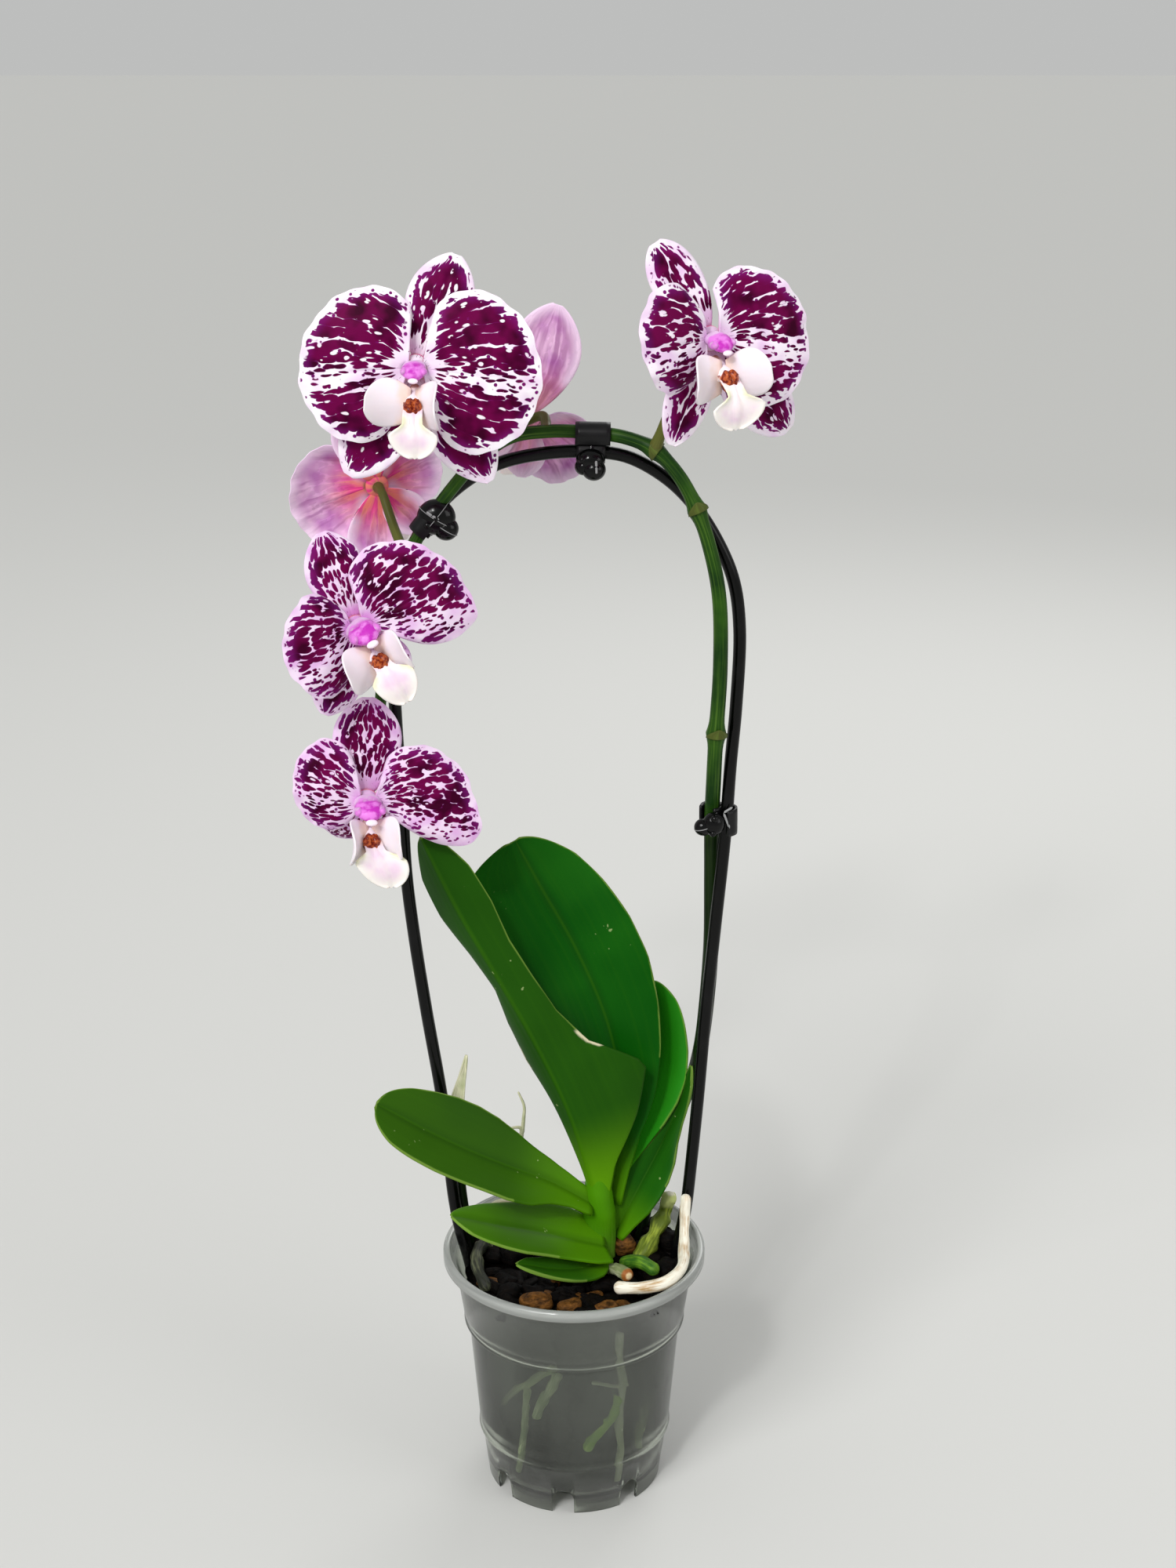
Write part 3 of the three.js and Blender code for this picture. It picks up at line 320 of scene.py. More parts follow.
# living petal, waxy skin over thin watery tissue: matt sheen, plum that breaks into dashes round a pale claw
def orchidPetal(name, seed, bloom, sepal):
    f = petalFinish
    material, add, place = newMaterial(name)
    along, across, edge = readMarks(add)[1:]
    side = add("Attribute", attribute_name="side", out="Fac")
    # off: how far a point lies from the pale middle band; lateral: millimetres across the veins
    if sepal:
        off = add("Math", [add("Math", [across], **bare), 6.0], **times)
        lateral = across
    else:
        off = add("Math", [add("Math", [across, bloom["band"]], **minus)], **bare)
        arc = add("Math", [along, 0.011, 0.12], **timesPlus)
        lateral = add("Math", [across, arc], **times)
    warp = add("TexNoise", {"Vector": place, "Scale": 1000 / 4.5, "Detail": 1.0}, out="Color")
    warp = add("VectorMath", [warp, (0.5, 0.5, 0.5)], **minus)
    spot = add("CombineXYZ", [along, lateral, seed])
    bent = add("VectorMath", [warp, (3.4, 1.8, 0), spot], **timesPlus)
    cloud = add("TexNoise", {"Vector": place, "Scale": 1000 / 8.0, "Detail": 2.0})

    # round dark dashes on white: none at the claw, small in the band, grown together to plum beyond
    small, large, cellLength, cellWidth = bloom["dashes"]
    pitch = (1 / cellLength, 1 / cellWidth, 1)
    cells = add("Mapping", {"Vector": bent, "Scale": pitch, "Location": (seed, 0, 0)})
    cells = add("TexVoronoi", {"Vector": cells, "Scale": 1.0, "Randomness": 0.9}, voronoi_dimensions="2D")
    outward = add("Math", [off, 0.4, along], **timesPlus)
    fan = add("MapRange", [outward, 12, 31, small, large], **smooth)
    band = add("MapRange", [off, 2, 18, 0.9 if sepal else 0.24, 0.76], **smooth)
    claw = add("MapRange", [along, 3, 8, 0.05, 0.76], **smooth)
    margins = add("MapRange", [edge, 1.5, 5.0, 0.45, 0.76], **smooth)
    size = add("Math", [add("Math", [fan, band], **least), claw], **least)
    size = add("Math", [size, margins], **least)
    patchy = add("MapRange", [cloud, 0.35, 0.65, 0.06, -0.06])
    level = add("Math", [add("Math", [size, patchy], **plus), cells], **minus)
    net = add("MapRange", [level, -0.03, 0.03, 1, 0], **smooth)
    flecks = add("Mapping", {"Vector": bent, "Scale": (1 / 4.6, 1 / 2.8, 1), "Location": (0, seed, 0)})
    flecks = add("TexVoronoi", {"Vector": flecks, "Scale": 1.0}, voronoi_dimensions="2D")
    # each cell has a fleck of its own size, many have none
    grown = add("MapRange", [add("SeparateXYZ", [flecks.node.outputs["Color"]]), 0.35, 1, 0, 0.26])
    flecks = add("Math", [flecks, grown], **minus)
    net = add("Math", [net, add("MapRange", [flecks, -0.07, 0, 0.95, 0], **smooth)], **most)
    # a pale margin with an uneven inner side
    ragged = add("TexNoise", {"Vector": place, "Scale": 1000 / 2.6, "Detail": 1.0})
    marginAt = add("MapRange", [ragged, 0.3, 0.7, bloom["margin"] - 0.7, bloom["margin"] + 0.7])
    margin = add("MapRange", [add("Math", [marginAt, edge], **minus), -0.15, 0.15], **smooth)
    pale = add("Math", [net, margin], **most)
    # dark dots that stand in the pale parts
    dots = add("TexVoronoi", {"Vector": place, "Scale": 1000 / f["dot"]})
    dots = add("MapRange", [dots, 0.2, 0.28, 1, 0], **smooth)
    dots = add("Math", [dots, add("MapRange", [along, 6, 9], **smooth)], **times)
    dots = add("Math", [dots, add("MapRange", [edge, 0.5, 1.0], **smooth)], **times)
    plumShare = add("Math", [add("Math", [1.0, pale], **minus), dots], **most)

    # the plum is nearly black in places, and violet where it fades
    plum = add("MixRGB", [add("MapRange", [cloud, 0.36, 0.56]), f["deepPlum"], f["plum"]])
    plum = laid(add, plum, (level, 0.0, 0.12, 0.5, 0, f["violet"]), (edge, 1.5, 5.0, 0.5, 0, f["violet"]))
    tint = add("TexNoise", {"Vector": place, "Scale": 1000 / 6.0, "Detail": 1.0})
    tint = add("MapRange", [tint, 0.42, 0.7, bloom["lilac"], bloom["lilac"] + 0.45])
    white = add("MixRGB", [tint, f["white"], f["lilac"]])
    white = laid(add, white, (along, 2, 6, bloom["pink"], 0, f["clawPink"]))
    front = add("MixRGB", [plumShare, white, plum])
    if not sepal:
        # only the longest petals reach this far, where a corner that is folded over on the real petal is
        # coloured lilac; the mesh is not folded there
        front = laid(add, front, (along, 36.0, 37.5, 0, 0.8, f["foldedTip"]))

    # the back: pale at the margin, lilac pink with broad veins, hot pink to salmon at the claw
    veins = add("Mapping", {"Vector": bent, "Scale": (1 / 22, 1 / 3.2, 1), "Location": (0, 0, 20)})
    veins = add("TexNoise", {"Vector": veins, "Scale": 1.0, "Detail": 2.0})
    backTone = add("MixRGB", [add("MapRange", [cloud, 0.35, 0.6]), f["backLilac"], f["backPink"]])
    warm = laid(add, f["hotPink"], (veins, 0.4, 0.56, 0, 0.8, f["salmon"]))
    backTone = laid(add, backTone, (veins, 0.48, 0.64, 0, 0.55, f["backVein"]),
                    (along, 3, 19, bloom["warm"], 0, warm))
    if not sepal:
        backTone = laid(add, backTone, (along, 1.2, 2.8, 0.8, 0, f["stalkEnd"]))
    backTone = add("MixRGB", [add("Math", [plumShare, 0.14], **times), backTone, f["plum"]])
    nearEdge = add("MapRange", [edge, 1, 6, 1, 0])
    spots = add("Math", [add("MapRange", [net, 0.2, 0.8, 0, 0.45]), nearEdge], **times)
    backTone = add("MixRGB", [spots, backTone, f["backSpot"]])
    back = laid(add, backTone, (edge, 0, 5, 0.85, 0, f["backMargin"]))
    colour = laid(add, back, (side, -0.6, 0.2, 0, 1, front))
    return closed(material, add, colour, f["roughness"], f["ior"], f["gloss"],
                  (veins, 0.35, 0.0004), f["flesh"])


lipFinish = {
    "cream": "#f8f1ec",
    "white": "#f6edf3",
    "blush": "#dcaada",
    "peach": "#efc9a6",
    "throat": "#8a2f1a",
    "tip": "#d9dc93",
    "roughness": 0.4,
    "ior": 1.44,
    "gloss": 0.25,
    "flesh": {"Subsurface Weight": 0.12, "Subsurface Radius": (0.0014, 0.001, 0.0007)},
}


# lip flesh, thicker and waxier than the petals: ivory, blushed lilac inside, red brown down in the throat
def orchidLip(name, tongue):
    f = lipFinish
    material, add, place = newMaterial(name)
    marks, along, _, edge = readMarks(add)
    side = add("Attribute", attribute_name="side", out="Fac")
    cloud = add("TexNoise", {"Vector": place, "Scale": 1000 / 6.0, "Detail": 2.0})
    inner = add("MapRange", [side, -0.5, 0.5, 0.1, 1], **smooth)
    blush = add("MapRange", [cloud, 0.35, 0.65, 0.1 if tongue else 0.25, 0.5 if tongue else 0.7])
    blush = add("Math", [blush, add("MapRange", [edge, 0.6, 4.0], **smooth)], **times)
    blush = add("Math", [blush, inner], **times)
    colour = add("MixRGB", [blush, f["cream"] if tongue else f["white"], f["blush"]])
    if tongue:
        corner = add("Math", [add("MapRange", [edge, 0.2, 2.0, 0.5, 0], **smooth),
                              add("MapRange", [along, 9, 12, 1, 0], **smooth)], **times)
        colour = add("MixRGB", [corner, colour, f["tip"]])
    ragged = add("Math", [along, add("MapRange", [cloud, 0.3, 0.7, -1.4, 1.4])], **plus)
    colour = laid(add, colour, (ragged, 1.5, 5.0, 0.55, 0, f["peach"]))
    throat = add("Math", [add("MapRange", [ragged, 1.0, 2.8, 0.85, 0], **smooth), inner], **times)
    colour = add("MixRGB", [throat, colour, f["throat"]])
    ribs = add("Mapping", {"Vector": marks, "Scale": (1 / 20, 1 / 1.1, 0)})
    ribs = add("TexNoise", {"Vector": ribs, "Scale": 1.0, "Detail": 2.0})
    return closed(material, add, colour, f["roughness"], f["ior"], f["gloss"],
                  (ribs, 0.2, 0.0003), f["flesh"])


# warty swelling on the lip: orange brown, wet looking, with dark red freckles
def lipCallus():
    material, add, place = newMaterial("orchid_callus_warty")
    grain = add("TexNoise", {"Vector": place, "Scale": 1000 / 1.1, "Detail": 3.0})
    colour = add("MixRGB", [add("MapRange", [grain, 0.4, 0.56]), "#b95a2c", "#6e1a0e"])
    return closed(material, add, colour, 0.32, 1.44, 0.3, (grain, 0.5, 0.0004))


# column: smooth waxy flesh, pale at the foot, magenta round the hood, white at the anther cap
def orchidColumn():
    material, add, place = newMaterial("orchid_column_waxy")
    share = readMarks(add)[3]
    cloud = add("TexNoise", {"Vector": place, "Scale": 1000 / 2.5, "Detail": 2.0})
    tone = add("MixRGB", [add("MapRange", [cloud, 0.4, 0.6]), "#c02fb6", "#e280de"])
    shift = add("Math", [share, add("MapRange", [cloud, 0.3, 0.7, -0.12, 0.12])], **plus)
    colour = laid(add, "#e3c0e4", (shift, 0.25, 0.5, 0, 1, tone))
    colour = add("MixRGB", [add("MapRange", [share, 1.2, 1.8]), colour, "#f8e6f2"])
    flesh = {"Subsurface Weight": 0.15, "Subsurface Radius": (0.001, 0.0006, 0.0008)}
    return closed(material, add, colour, 0.38, 1.44, 0.25, more=flesh)


# each bloom: its middle, the way it faces, and its tepals in its own frame: x right, y up, z out of its face
# aim counts from its right, counter-clockwise, and lift is how far a tepal leans forward, all in degrees
# band: degrees up from the middle of a petal to its pale band
# dashes: their size at the claw and far out, then the length and width of a cell
# sepals: aim, length, half width, lift, bluntness
# petals: aim, reach, spread to either side, lean, lift, corner and how much longer it is there
# lip: how far its side lobes open, then the tongue's sway, half width and neck
blooms = {
    "bloom_a": {
        "middle": (-46.1, -16, 389.5), "yaw": 0, "pitch": 4, "roll": -2,
        "band": -3, "lilac": 0.0, "warm": 0.6,
        "dashes": (0.44, 0.74, 5.4, 1.6), "margin": 1.9, "pink": 0.15,
        "sepals": [(71, 32.5, 10, -4, 0.62), (239, 37, 10, -6, 0.62), (304, 39, 9.5, -8, 0.7)],
        "petals": [(186, 32.5, 68, 98, 0.04, 3, 0, 0), (-6, 35.5, 84, 68, -0.04, 3, 0, 0)],
        "lip": (68, 25, 3, 7.2, 0.44), "column": 1.0, "pedicel": [(-21, 11.5, 363.5), (-30, 7, 371)],
    },
    "bloom_b": {
        "middle": (41.3, -14, 397.5), "yaw": 24, "pitch": 2, "roll": 6,
        "band": -10, "lilac": 0.1, "warm": 0.6,
        "dashes": (0.42, 0.7, 4.6, 1.5), "margin": 1.6, "pink": 0.3,
        "sepals": [(113, 30, 8.3, -8, 0.5), (244, 31, 7.5, -4, 0.62), (309, 40, 10, -6, 0.55)],
        "petals": [(176, 28, 60, 62, -0.12, 25, 0, 0), (-8, 30.3, 98, 66, -0.12, 4, 0, 0)],
        "lip": (56, 42, -1, 8.6, 0.42), "column": 1.0, "pedicel": [(25.5, 11, 360.5), (30, 5, 374)],
    },
    "bloom_c": {
        "middle": (-66, -14, 309.9), "yaw": 18, "pitch": 8, "roll": 24,
        "band": -26, "lilac": 0.35, "warm": 0.6,
        "dashes": (0.46, 0.62, 3.6, 1.5), "margin": 1.1, "pink": 0.8,
        "sepals": [(82, 28.5, 9.5, -6, 0.62), (224, 27, 8, -6, 0.62), (284, 24, 8, -14, 0.62)],
        "petals": [(168, 25.5, 70, 68, 0.12, 27, 0, 0), (0, 33.5, 80, 46, -0.16, 4, -26, 3.5)],
        "lip": (50, 24, 4, 6.8, 0.26), "column": 1.3, "pedicel": [(-57.6, 8.6, 309), (-61, 1, 309)],
    },
    "bloom_d": {
        "middle": (-65.1, -12, 252.7), "yaw": 12, "pitch": 6, "roll": 0,
        "band": -22, "lilac": 0.4, "warm": 0.6,
        "dashes": (0.46, 0.6, 3.2, 1.5), "margin": 1.2, "pink": 0.4,
        "sepals": [(86, 30.5, 11, -6, 0.62), (238, 24, 8, -50, 0.62), (302, 24, 8, -50, 0.62)],
        "petals": [(152, 23.5, 84, 52, -0.22, 6, 0, 0), (-4, 32.5, 74, 36, -0.18, 4, -22, 5)],
        "lip": (22, 30, 16, 8, 0.28), "column": 1.25, "pedicel": [(-63.4, 6.4, 254), (-64.5, 0, 254)],
    },
    "bloom_e": {
        "middle": (-63.5, 34, 345), "yaw": 196, "pitch": 6, "roll": -28,
        "band": 0, "lilac": 0.2, "warm": 0.95,
        "dashes": (0.4, 0.58, 4.4, 1.6), "margin": 1.5, "pink": 0.3,
        "sepals": [(100, 28, 9.5, -8, 0.62), (252, 19, 7, -10, 0.62), (303, 26, 9, -10, 0.62)],
        "petals": [(184, 20.5, 70, 66, 0, 6, 0, 0), (9, 26.5, 78, 62, 0, 6, 0, 0)],
        "lip": (50, 50, 0, 7.2, 0.26), "column": 1.0, "pedicel": [(-52.2, 8.8, 326), (-57, 18, 335)],
    },
    "bloom_f": {
        "middle": (-13.8, 36, 366.9), "yaw": 168, "pitch": 4, "roll": 30,
        "band": 0, "lilac": 0.2, "warm": 0.45,
        "dashes": (0.4, 0.58, 4.4, 1.6), "margin": 1.5, "pink": 0.3,
        "sepals": [(77, 36, 11.2, -4, 0.62), (245, 17, 7, -18, 0.62), (306, 20, 8, -20, 0.62)],
        "petals": [(198, 22.5, 62, 62, 0, 6, 0, 0), (-4, 24, 66, 66, 0, 14, 0, 0)],
        "lip": (50, 50, 0, 7.2, 0.26), "column": 1.0, "pedicel": [(-8, 13.4, 365.6), (-9.5, 22, 369)],
    },
}

tepalShape = {
    "petalRoot": 2, "sepalRoot": 2.5, "petalDepth": 0.4, "sepalDepth": -2.2, "thick": 0.8, "rim": 0.3,
    "petalRows": 30, "petalColumns": 73, "sepalRows": 26, "sepalColumns": 25,
    "rounding": 0.28, "cornerWidth": 13, "ruffle": 0.008, "frill": 0.006, "arch": 2.2, "droop": 1.6,
}


def bloomPose(bloom):
    return (Matrix.Translation(bloom["middle"]) @ rotation(bloom["yaw"], "Z", 4)
            @ rotation(90 - bloom["pitch"], "X", 4) @ rotation(bloom["roll"], "Z", 4))


def tepalAxes(aim, lift):
    c, s = math.cos(math.radians(aim)), math.sin(math.radians(aim))
    cl, sl = math.cos(math.radians(lift)), math.sin(math.radians(lift))
    ahead, beside = np.array([c * cl, s * cl, sl]), np.array([-s, c, 0])
    return ahead, beside, np.cross(ahead, beside), c, s


# a fan whose veins run out from the claw
def petalPart(petal, seed):
    aim, reachOut, ccw, cw, lean, lift, cornerAt, more = petal
    ahead, beside, out, c, s = tepalAxes(aim, lift)
    root = np.array([c, s, 0]) * tepalShape["petalRoot"] + [0, 0, tepalShape["petalDepth"]]
    upward = 1 if c > 0 else -1
    f = tepalShape

    def spreadOf(b):
        return np.radians(np.where(b > 0, b * ccw, b * cw))

    def reachOf(a, b):
        spread = spreadOf(b)
        rounding = np.cos(np.radians(84 * b)) ** f["rounding"]
        corner = more * np.exp(-(((np.degrees(spread) - cornerAt) / f["cornerWidth"]) ** 2))
        ripple = 1 + f["ruffle"] * a ** 4 * np.sin(13 * spread + seed)
        ripple = ripple + f["frill"] * a ** 6 * np.sin(29 * spread + 2 * seed)
        return (reachOut * (1 + lean * np.sin(spread)) + corner) * rounding * a * ripple

    def surface(a, b):
        spread, reach = spreadOf(b), reachOf(a, b)
        arch = f["arch"] * np.sin(np.pi * a) - f["droop"] * a ** 3 + 0.8 * a ** 3 * np.sin(5 * spread + aim)
        arch = arch + 0.35 * a ** 5 * np.sin(17 * spread + seed)
        arch = arch - 0.5 * np.exp(-((spread / 0.05) ** 2)) * np.sin(np.pi * a)
        return offBy(root, (ahead, reach * np.cos(spread)), (beside, reach * np.sin(spread)), (out, arch))

    return bladePart(tipShares(f["petalRows"], 0.05, 0.95), f["petalColumns"], surface,
                     lambda a, b: thinned(f, 1 - a ** 10),
                     lambda a, b: (reachOf(a, b), np.degrees(spreadOf(b)) * upward))


def widthShare(a, start, peak, blunt):
    t = start + (1 - start) * a
    return np.maximum(np.sin(np.pi * t ** (math.log(0.5) / math.log(peak))), 0) ** blunt


def sepalPart(sepal, seed):
    aim, length, half, lift, blunt = sepal
    ahead, beside, out, c, s = tepalAxes(aim, lift)
    root = np.array([c, s, 0]) * tepalShape["sepalRoot"] + [0, 0, tepalShape["sepalDepth"]]

    def surface(a, b):
        across = half * widthShare(a, 0.06, 0.58, blunt) * b
        arch = (1.6 - 1.2 * b * b) * np.sin(np.pi * a) - 0.45 * np.exp(-((b / 0.08) ** 2)) * np.sin(np.pi * a)
        arch = arch + 0.4 * np.abs(b) ** 3 * np.sin(9 * a + seed + 2 * b)
        return offBy(root, (ahead, length * a), (beside, across), (out, arch))

    return bladePart(tipShares(tepalShape["sepalRows"], 0, 0.987), tepalShape["sepalColumns"], surface,
                     lambda a, b: thinned(tepalShape, (1 - np.abs(b) ** 8) * (1 - a ** 12)),
                     (length, half), look=1)


def tepalParts(bloom, seed):
    heart = lumpPart((0, 0, -1.4), (3.8, 3.8, 2.3), rings=14, sides=28)
    x, y, z = heart[0].T
    heartMarks = np.stack([np.hypot(x, y), np.degrees(np.arctan2(y, x)), 0 * x + 6], -1)
    parts = [labelled(heart, np.where(z > -0.8, 1.0, -1.0), heartMarks)]
    parts += [petalPart(petal, seed + i) for i, petal in enumerate(bloom["petals"])]
    parts += [sepalPart(sepal, seed + 5 + i) for i, sepal in enumerate(bloom["sepals"])]
    return parts


lipShape = {
    "lobeRoot": (0.6, -10.6, 6), "lobeRise": 0.4, "lobeReach": 14.6, "lobeHalf": 7.2, "lobeCup": 1.8,
    "tongueNeck": 2.9, "tongueEnd": 0.82, "tongueRidge": 0.6, "tongueCurl": 2.6, "thick": 0.9, "rim": 0.45,
    "claw": [(0, -6, 0.2), (0, -8, 3.4), (0, -11, 7.2)], "clawRadii": (1.5, 2.7),
}


def lipThickness(a, b):
    return thinned(lipShape, (1 - np.abs(b) ** 6) * (1 - a ** 8))


# a side lobe of the lip, a cupped disc
def lobePart(turn, sign):
    angle, reach = math.radians(turn), lipShape["lobeReach"]
    x, y, z = lipShape["lobeRoot"]
    root = np.array([sign * x, y, z])
    ahead = np.array([sign * reach * math.sin(angle), lipShape["lobeRise"], reach * math.cos(angle)])
    beside = np.array([0, 1, 0.1])
    beside = unit(beside - ahead * np.dot(beside, ahead) / np.dot(ahead, ahead))
    out = unit(np.cross(ahead, beside))
    cup = -sign * lipShape["lobeCup"]

    def surface(a, b):
        across = lipShape["lobeHalf"] * b * widthShare(a, 0.16, 0.55, 0.46)
        hollow = cup * (4 * a * (1 - a) + b * b * np.sin(np.pi * a))
        return offBy(root, (ahead, a), (beside, across), (out, hollow))

    part = bladePart(tipShares(20, 0.02, 0.96), 25, surface, lipThickness, (reach, lipShape["lobeHalf"]))
    return labelled(part, part[3] * -sign)


# the middle lobe: a narrow neck runs forward from the saddle, then it turns down and spreads like a trowel
def tonguePart(sway, wide, neckShare):
    line = [(0, -10, 7), (0.2 * sway, -14, 11.6), (0.6 * sway, -19.5, 12.8), (sway, -26, 10.8)]
    f = lipShape
    neck, room = f["tongueNeck"], f["tongueEnd"] - neckShare

    def surface(a, b):
        centre = alongSpline(line, a, even=False)[0]
        swell = np.clip((a - neckShare) / 0.22, 0, 1)
        half = neck + (wide - neck) * swell ** 2 * (3 - 2 * swell)
        half = half * np.maximum(1 - np.clip((a - 1 + room) / room, 0, 1) ** 2.3, 0.0004) ** 0.55
        ridge = f["tongueRidge"] * np.exp(-((b / 0.14) ** 2)) * np.sin(np.pi * a)
        curl = f["tongueCurl"] * np.abs(b) ** 2.4 * np.clip((a - 0.2) / 0.3, 0, 1) * (1 - 0.5 * a)
        return centre + np.stack([half * b, 0.3 * np.abs(b), curl + ridge], -1)

    return bladePart(tipShares(22, 0.02, 0.97), 25, surface, lipThickness, (20, wide), look=1)


def lipParts(bloom):
    left, right, sway, wide, neckShare = bloom["lip"]
    clawLine = alongSpline(lipShape["claw"], np.linspace(0, 1, 12))[0]
    claw = rodPart(clawLine, np.linspace(*lipShape["clawRadii"], 12), 16)
    return [claw, lobePart(left, -1), lobePart(right, 1), tonguePart(0.34 * sway, wide, neckShare)]


# cap and wing: place, size and tilt; callus: place and size
columnShape = {
    "line": [(0, -0.4, 5), (0, -2.6, 9.4)], "radius": 2.0, "swell": 0.9, "wide": 1.22, "tall": 0.74,
    "cap": ((0, -3.4, 9.5), (1.5, 0.8, 1), 26), "wing": ((2.9, -0.9, 6.4), (1.1, 1.3, 2.6), 18),
    "callus": ((1.0, -11.6, 9.2), (1.7, 3.1, 2.2)),
}


# a low hood, wider than tall, with a pale cap at its end and a small wing on either side
def columnParts(scale):
    f, shares = columnShape, crowdedShares(26)
    line = alongSpline([(0, 0.3, 1), *(np.array(f["line"]) * scale)], shares)[0]
    swell = f["radius"] + f["swell"] * np.sin(np.pi * np.minimum(0.25 + 0.62 * shares, 1))
    turn = np.linspace(0, 2 * math.pi, 32, endpoint=False)
    # the first spoke of a ring looks along minus x here
    oval = 1 / np.hypot(np.cos(turn) / f["wide"], np.sin(turn) / f["tall"])
    oval = oval * (1 + 0.05 * np.cos(3 * turn + 0.5))
    radii = roundedEnds(line, scale * swell, start=False)
    parts = [rodPart(line, [radius * oval for radius in radii], 32, spoke=(0, 1, 0))]
    # by its marks the cap is white, and the wings are as dark as the hood
    (x, y, z), wingSize, lean = f["wing"]
    lumps = [(*f["cap"], "X", (0, 0, 2.0))]
    lumps += [((sign * x, y, z), wingSize, sign * lean, "Z", 0.42) for sign in (-1, 1)]
    for at, size, tilt, axis, marks in lumps:
        at, size = np.array(at) * scale, np.array(size) * scale
        parts.append(labelled(lumpPart(at, size, rotation(tilt, axis), rings=10, sides=16), marks=marks))
    return parts


def callusParts():
    (x, y, z), size = columnShape["callus"]
    return [lumpPart((sign * x, y, z), size, rough=0.35, grain=0.9, seed=sign, rings=14, sides=22)
            for sign in (-1, 1)]


lobeLook, tongueLook = orchidLip("orchid_lip_lobe_waxy", False), orchidLip("orchid_lip_tongue_waxy", True)
callusLook, columnLook = lipCallus(), orchidColumn()
for index, (bloomName, bloom) in enumerate(blooms.items()):
    label = "bloom" + bloomName[-1].upper()
    pose = bloomPose(bloom)
    tepalLooks = [orchidPetal("orchid_" + kind + "_" + bloomName[-1], 4.7 * index + 1, bloom, kind == "sepal")
                  for kind in ("petal", "sepal")]
    for kind, parts, looks, slotName in (
            ("_tepals", tepalParts(bloom, 3 * index), tepalLooks, "petal"),
            ("_lip", lipParts(bloom), [lobeLook, tongueLook], "lip"),
            ("_callus", callusParts(), [callusLook], "callus"),
            ("_column", columnParts(bloom["column"]), [columnLook], "column")):
        makePiece(label + kind, [moved(p, pose) for p in parts], looks, slotName, bloomName + kind)
print("blooms made")


# flower stem with its stalks
stemShape = {
    "path": [
        (21, 15, 66), (25, 22, 88), (33, 32, 110), (40.2, 33, 130), (43.6, 24, 150), (45, 19.8, 166),
        (46.4, 20, 190), (46.2, 20, 215), (45.8, 18, 235), (45.9, 13.5, 252), (46.2, 10.4, 268),
        (47.1, 9.4, 290.5), (46.3, 9.2, 313.7), (43.3, 8.8, 328.7), (38.9, 8.8, 341.7), (33, 10, 352.4),
        (25.5, 12, 360), (17, 13, 363.6), (6, 14.5, 365), (-7.4, 13.5, 365.6), (-19.5, 11.5, 364),
        (-29.4, 9.8, 357.4), (-37.4, 8.8, 348.7), (-45.7, 8.6, 337.5), (-52.2, 8.8, 326), (-57.4, 8.8, 310),
        (-60.6, 8.4, 290), (-62.6, 7.6, 270), (-63.6, 6.5, 252),
    ],
    "joints": [(46.2, 10.4, 268), (38.9, 8.8, 341.7), (25.5, 12, 360), (-52.2, 8.8, 326)],
    "foot": 2.3, "middle": 2.65, "middleAt": 0.25, "tip": 1.8, "stalkRoot": 1.7, "stalkTip": 1.35,
    "jointSwell": 0.75, "jointLength": 3.0, "ringSwell": 0.25, "ringLength": 0.9,
    "scaleLength": 3.4, "scaleUnder": 0.8,
}


# green stem skin: smooth, faintly waxy, with brownish flecks and paler rings at the joints
def stemSkin():
    material, add, place = newMaterial("orchid_stem_green")
    marks = add("Attribute", attribute_name="marks", out="Vector")
    cloud = add("TexNoise", {"Vector": place, "Scale": 1000 / 14.0, "Detail": 3.0})
    colour = add("MixRGB", [add("MapRange", [cloud, 0.35, 0.65]), "#12310a", "#2b5010"])
    lines = add("Mapping", {"Vector": marks, "Scale": (1 / 30, 1 / 16, 0)})
    lines = add("TexNoise", {"Vector": lines, "Scale": 1.0, "Detail": 3.0})
    colour = add("MixRGB", [add("MapRange", [lines, 0.5, 0.7, 0, 0.5]), colour, "#55782a"])
    # side holds 1 on the stem, less on the stalks, which are browner
    side = add("Attribute", attribute_name="side", out="Fac")
    colour = add("MixRGB", [add("MapRange", [side, 0, 1, 0.85, 0]), colour, "#6b6434"])
    # painted shade: below the lowest clip, where the stem runs behind the hoop, its colour is painted nearly
    # black
    height = add("SeparateXYZ", [place], out=2)
    shadeBelowClip = add("MapRange", [height, 0.226, 0.236, 0.85, 0], **smooth)
    colour = add("MixRGB", [add("Math", [shadeBelowClip, side], **times), colour, "#0a1407"])
    return closed(material, add, colour, 0.38, 1.42, 0.15, (lines, 0.15, 0.0003))


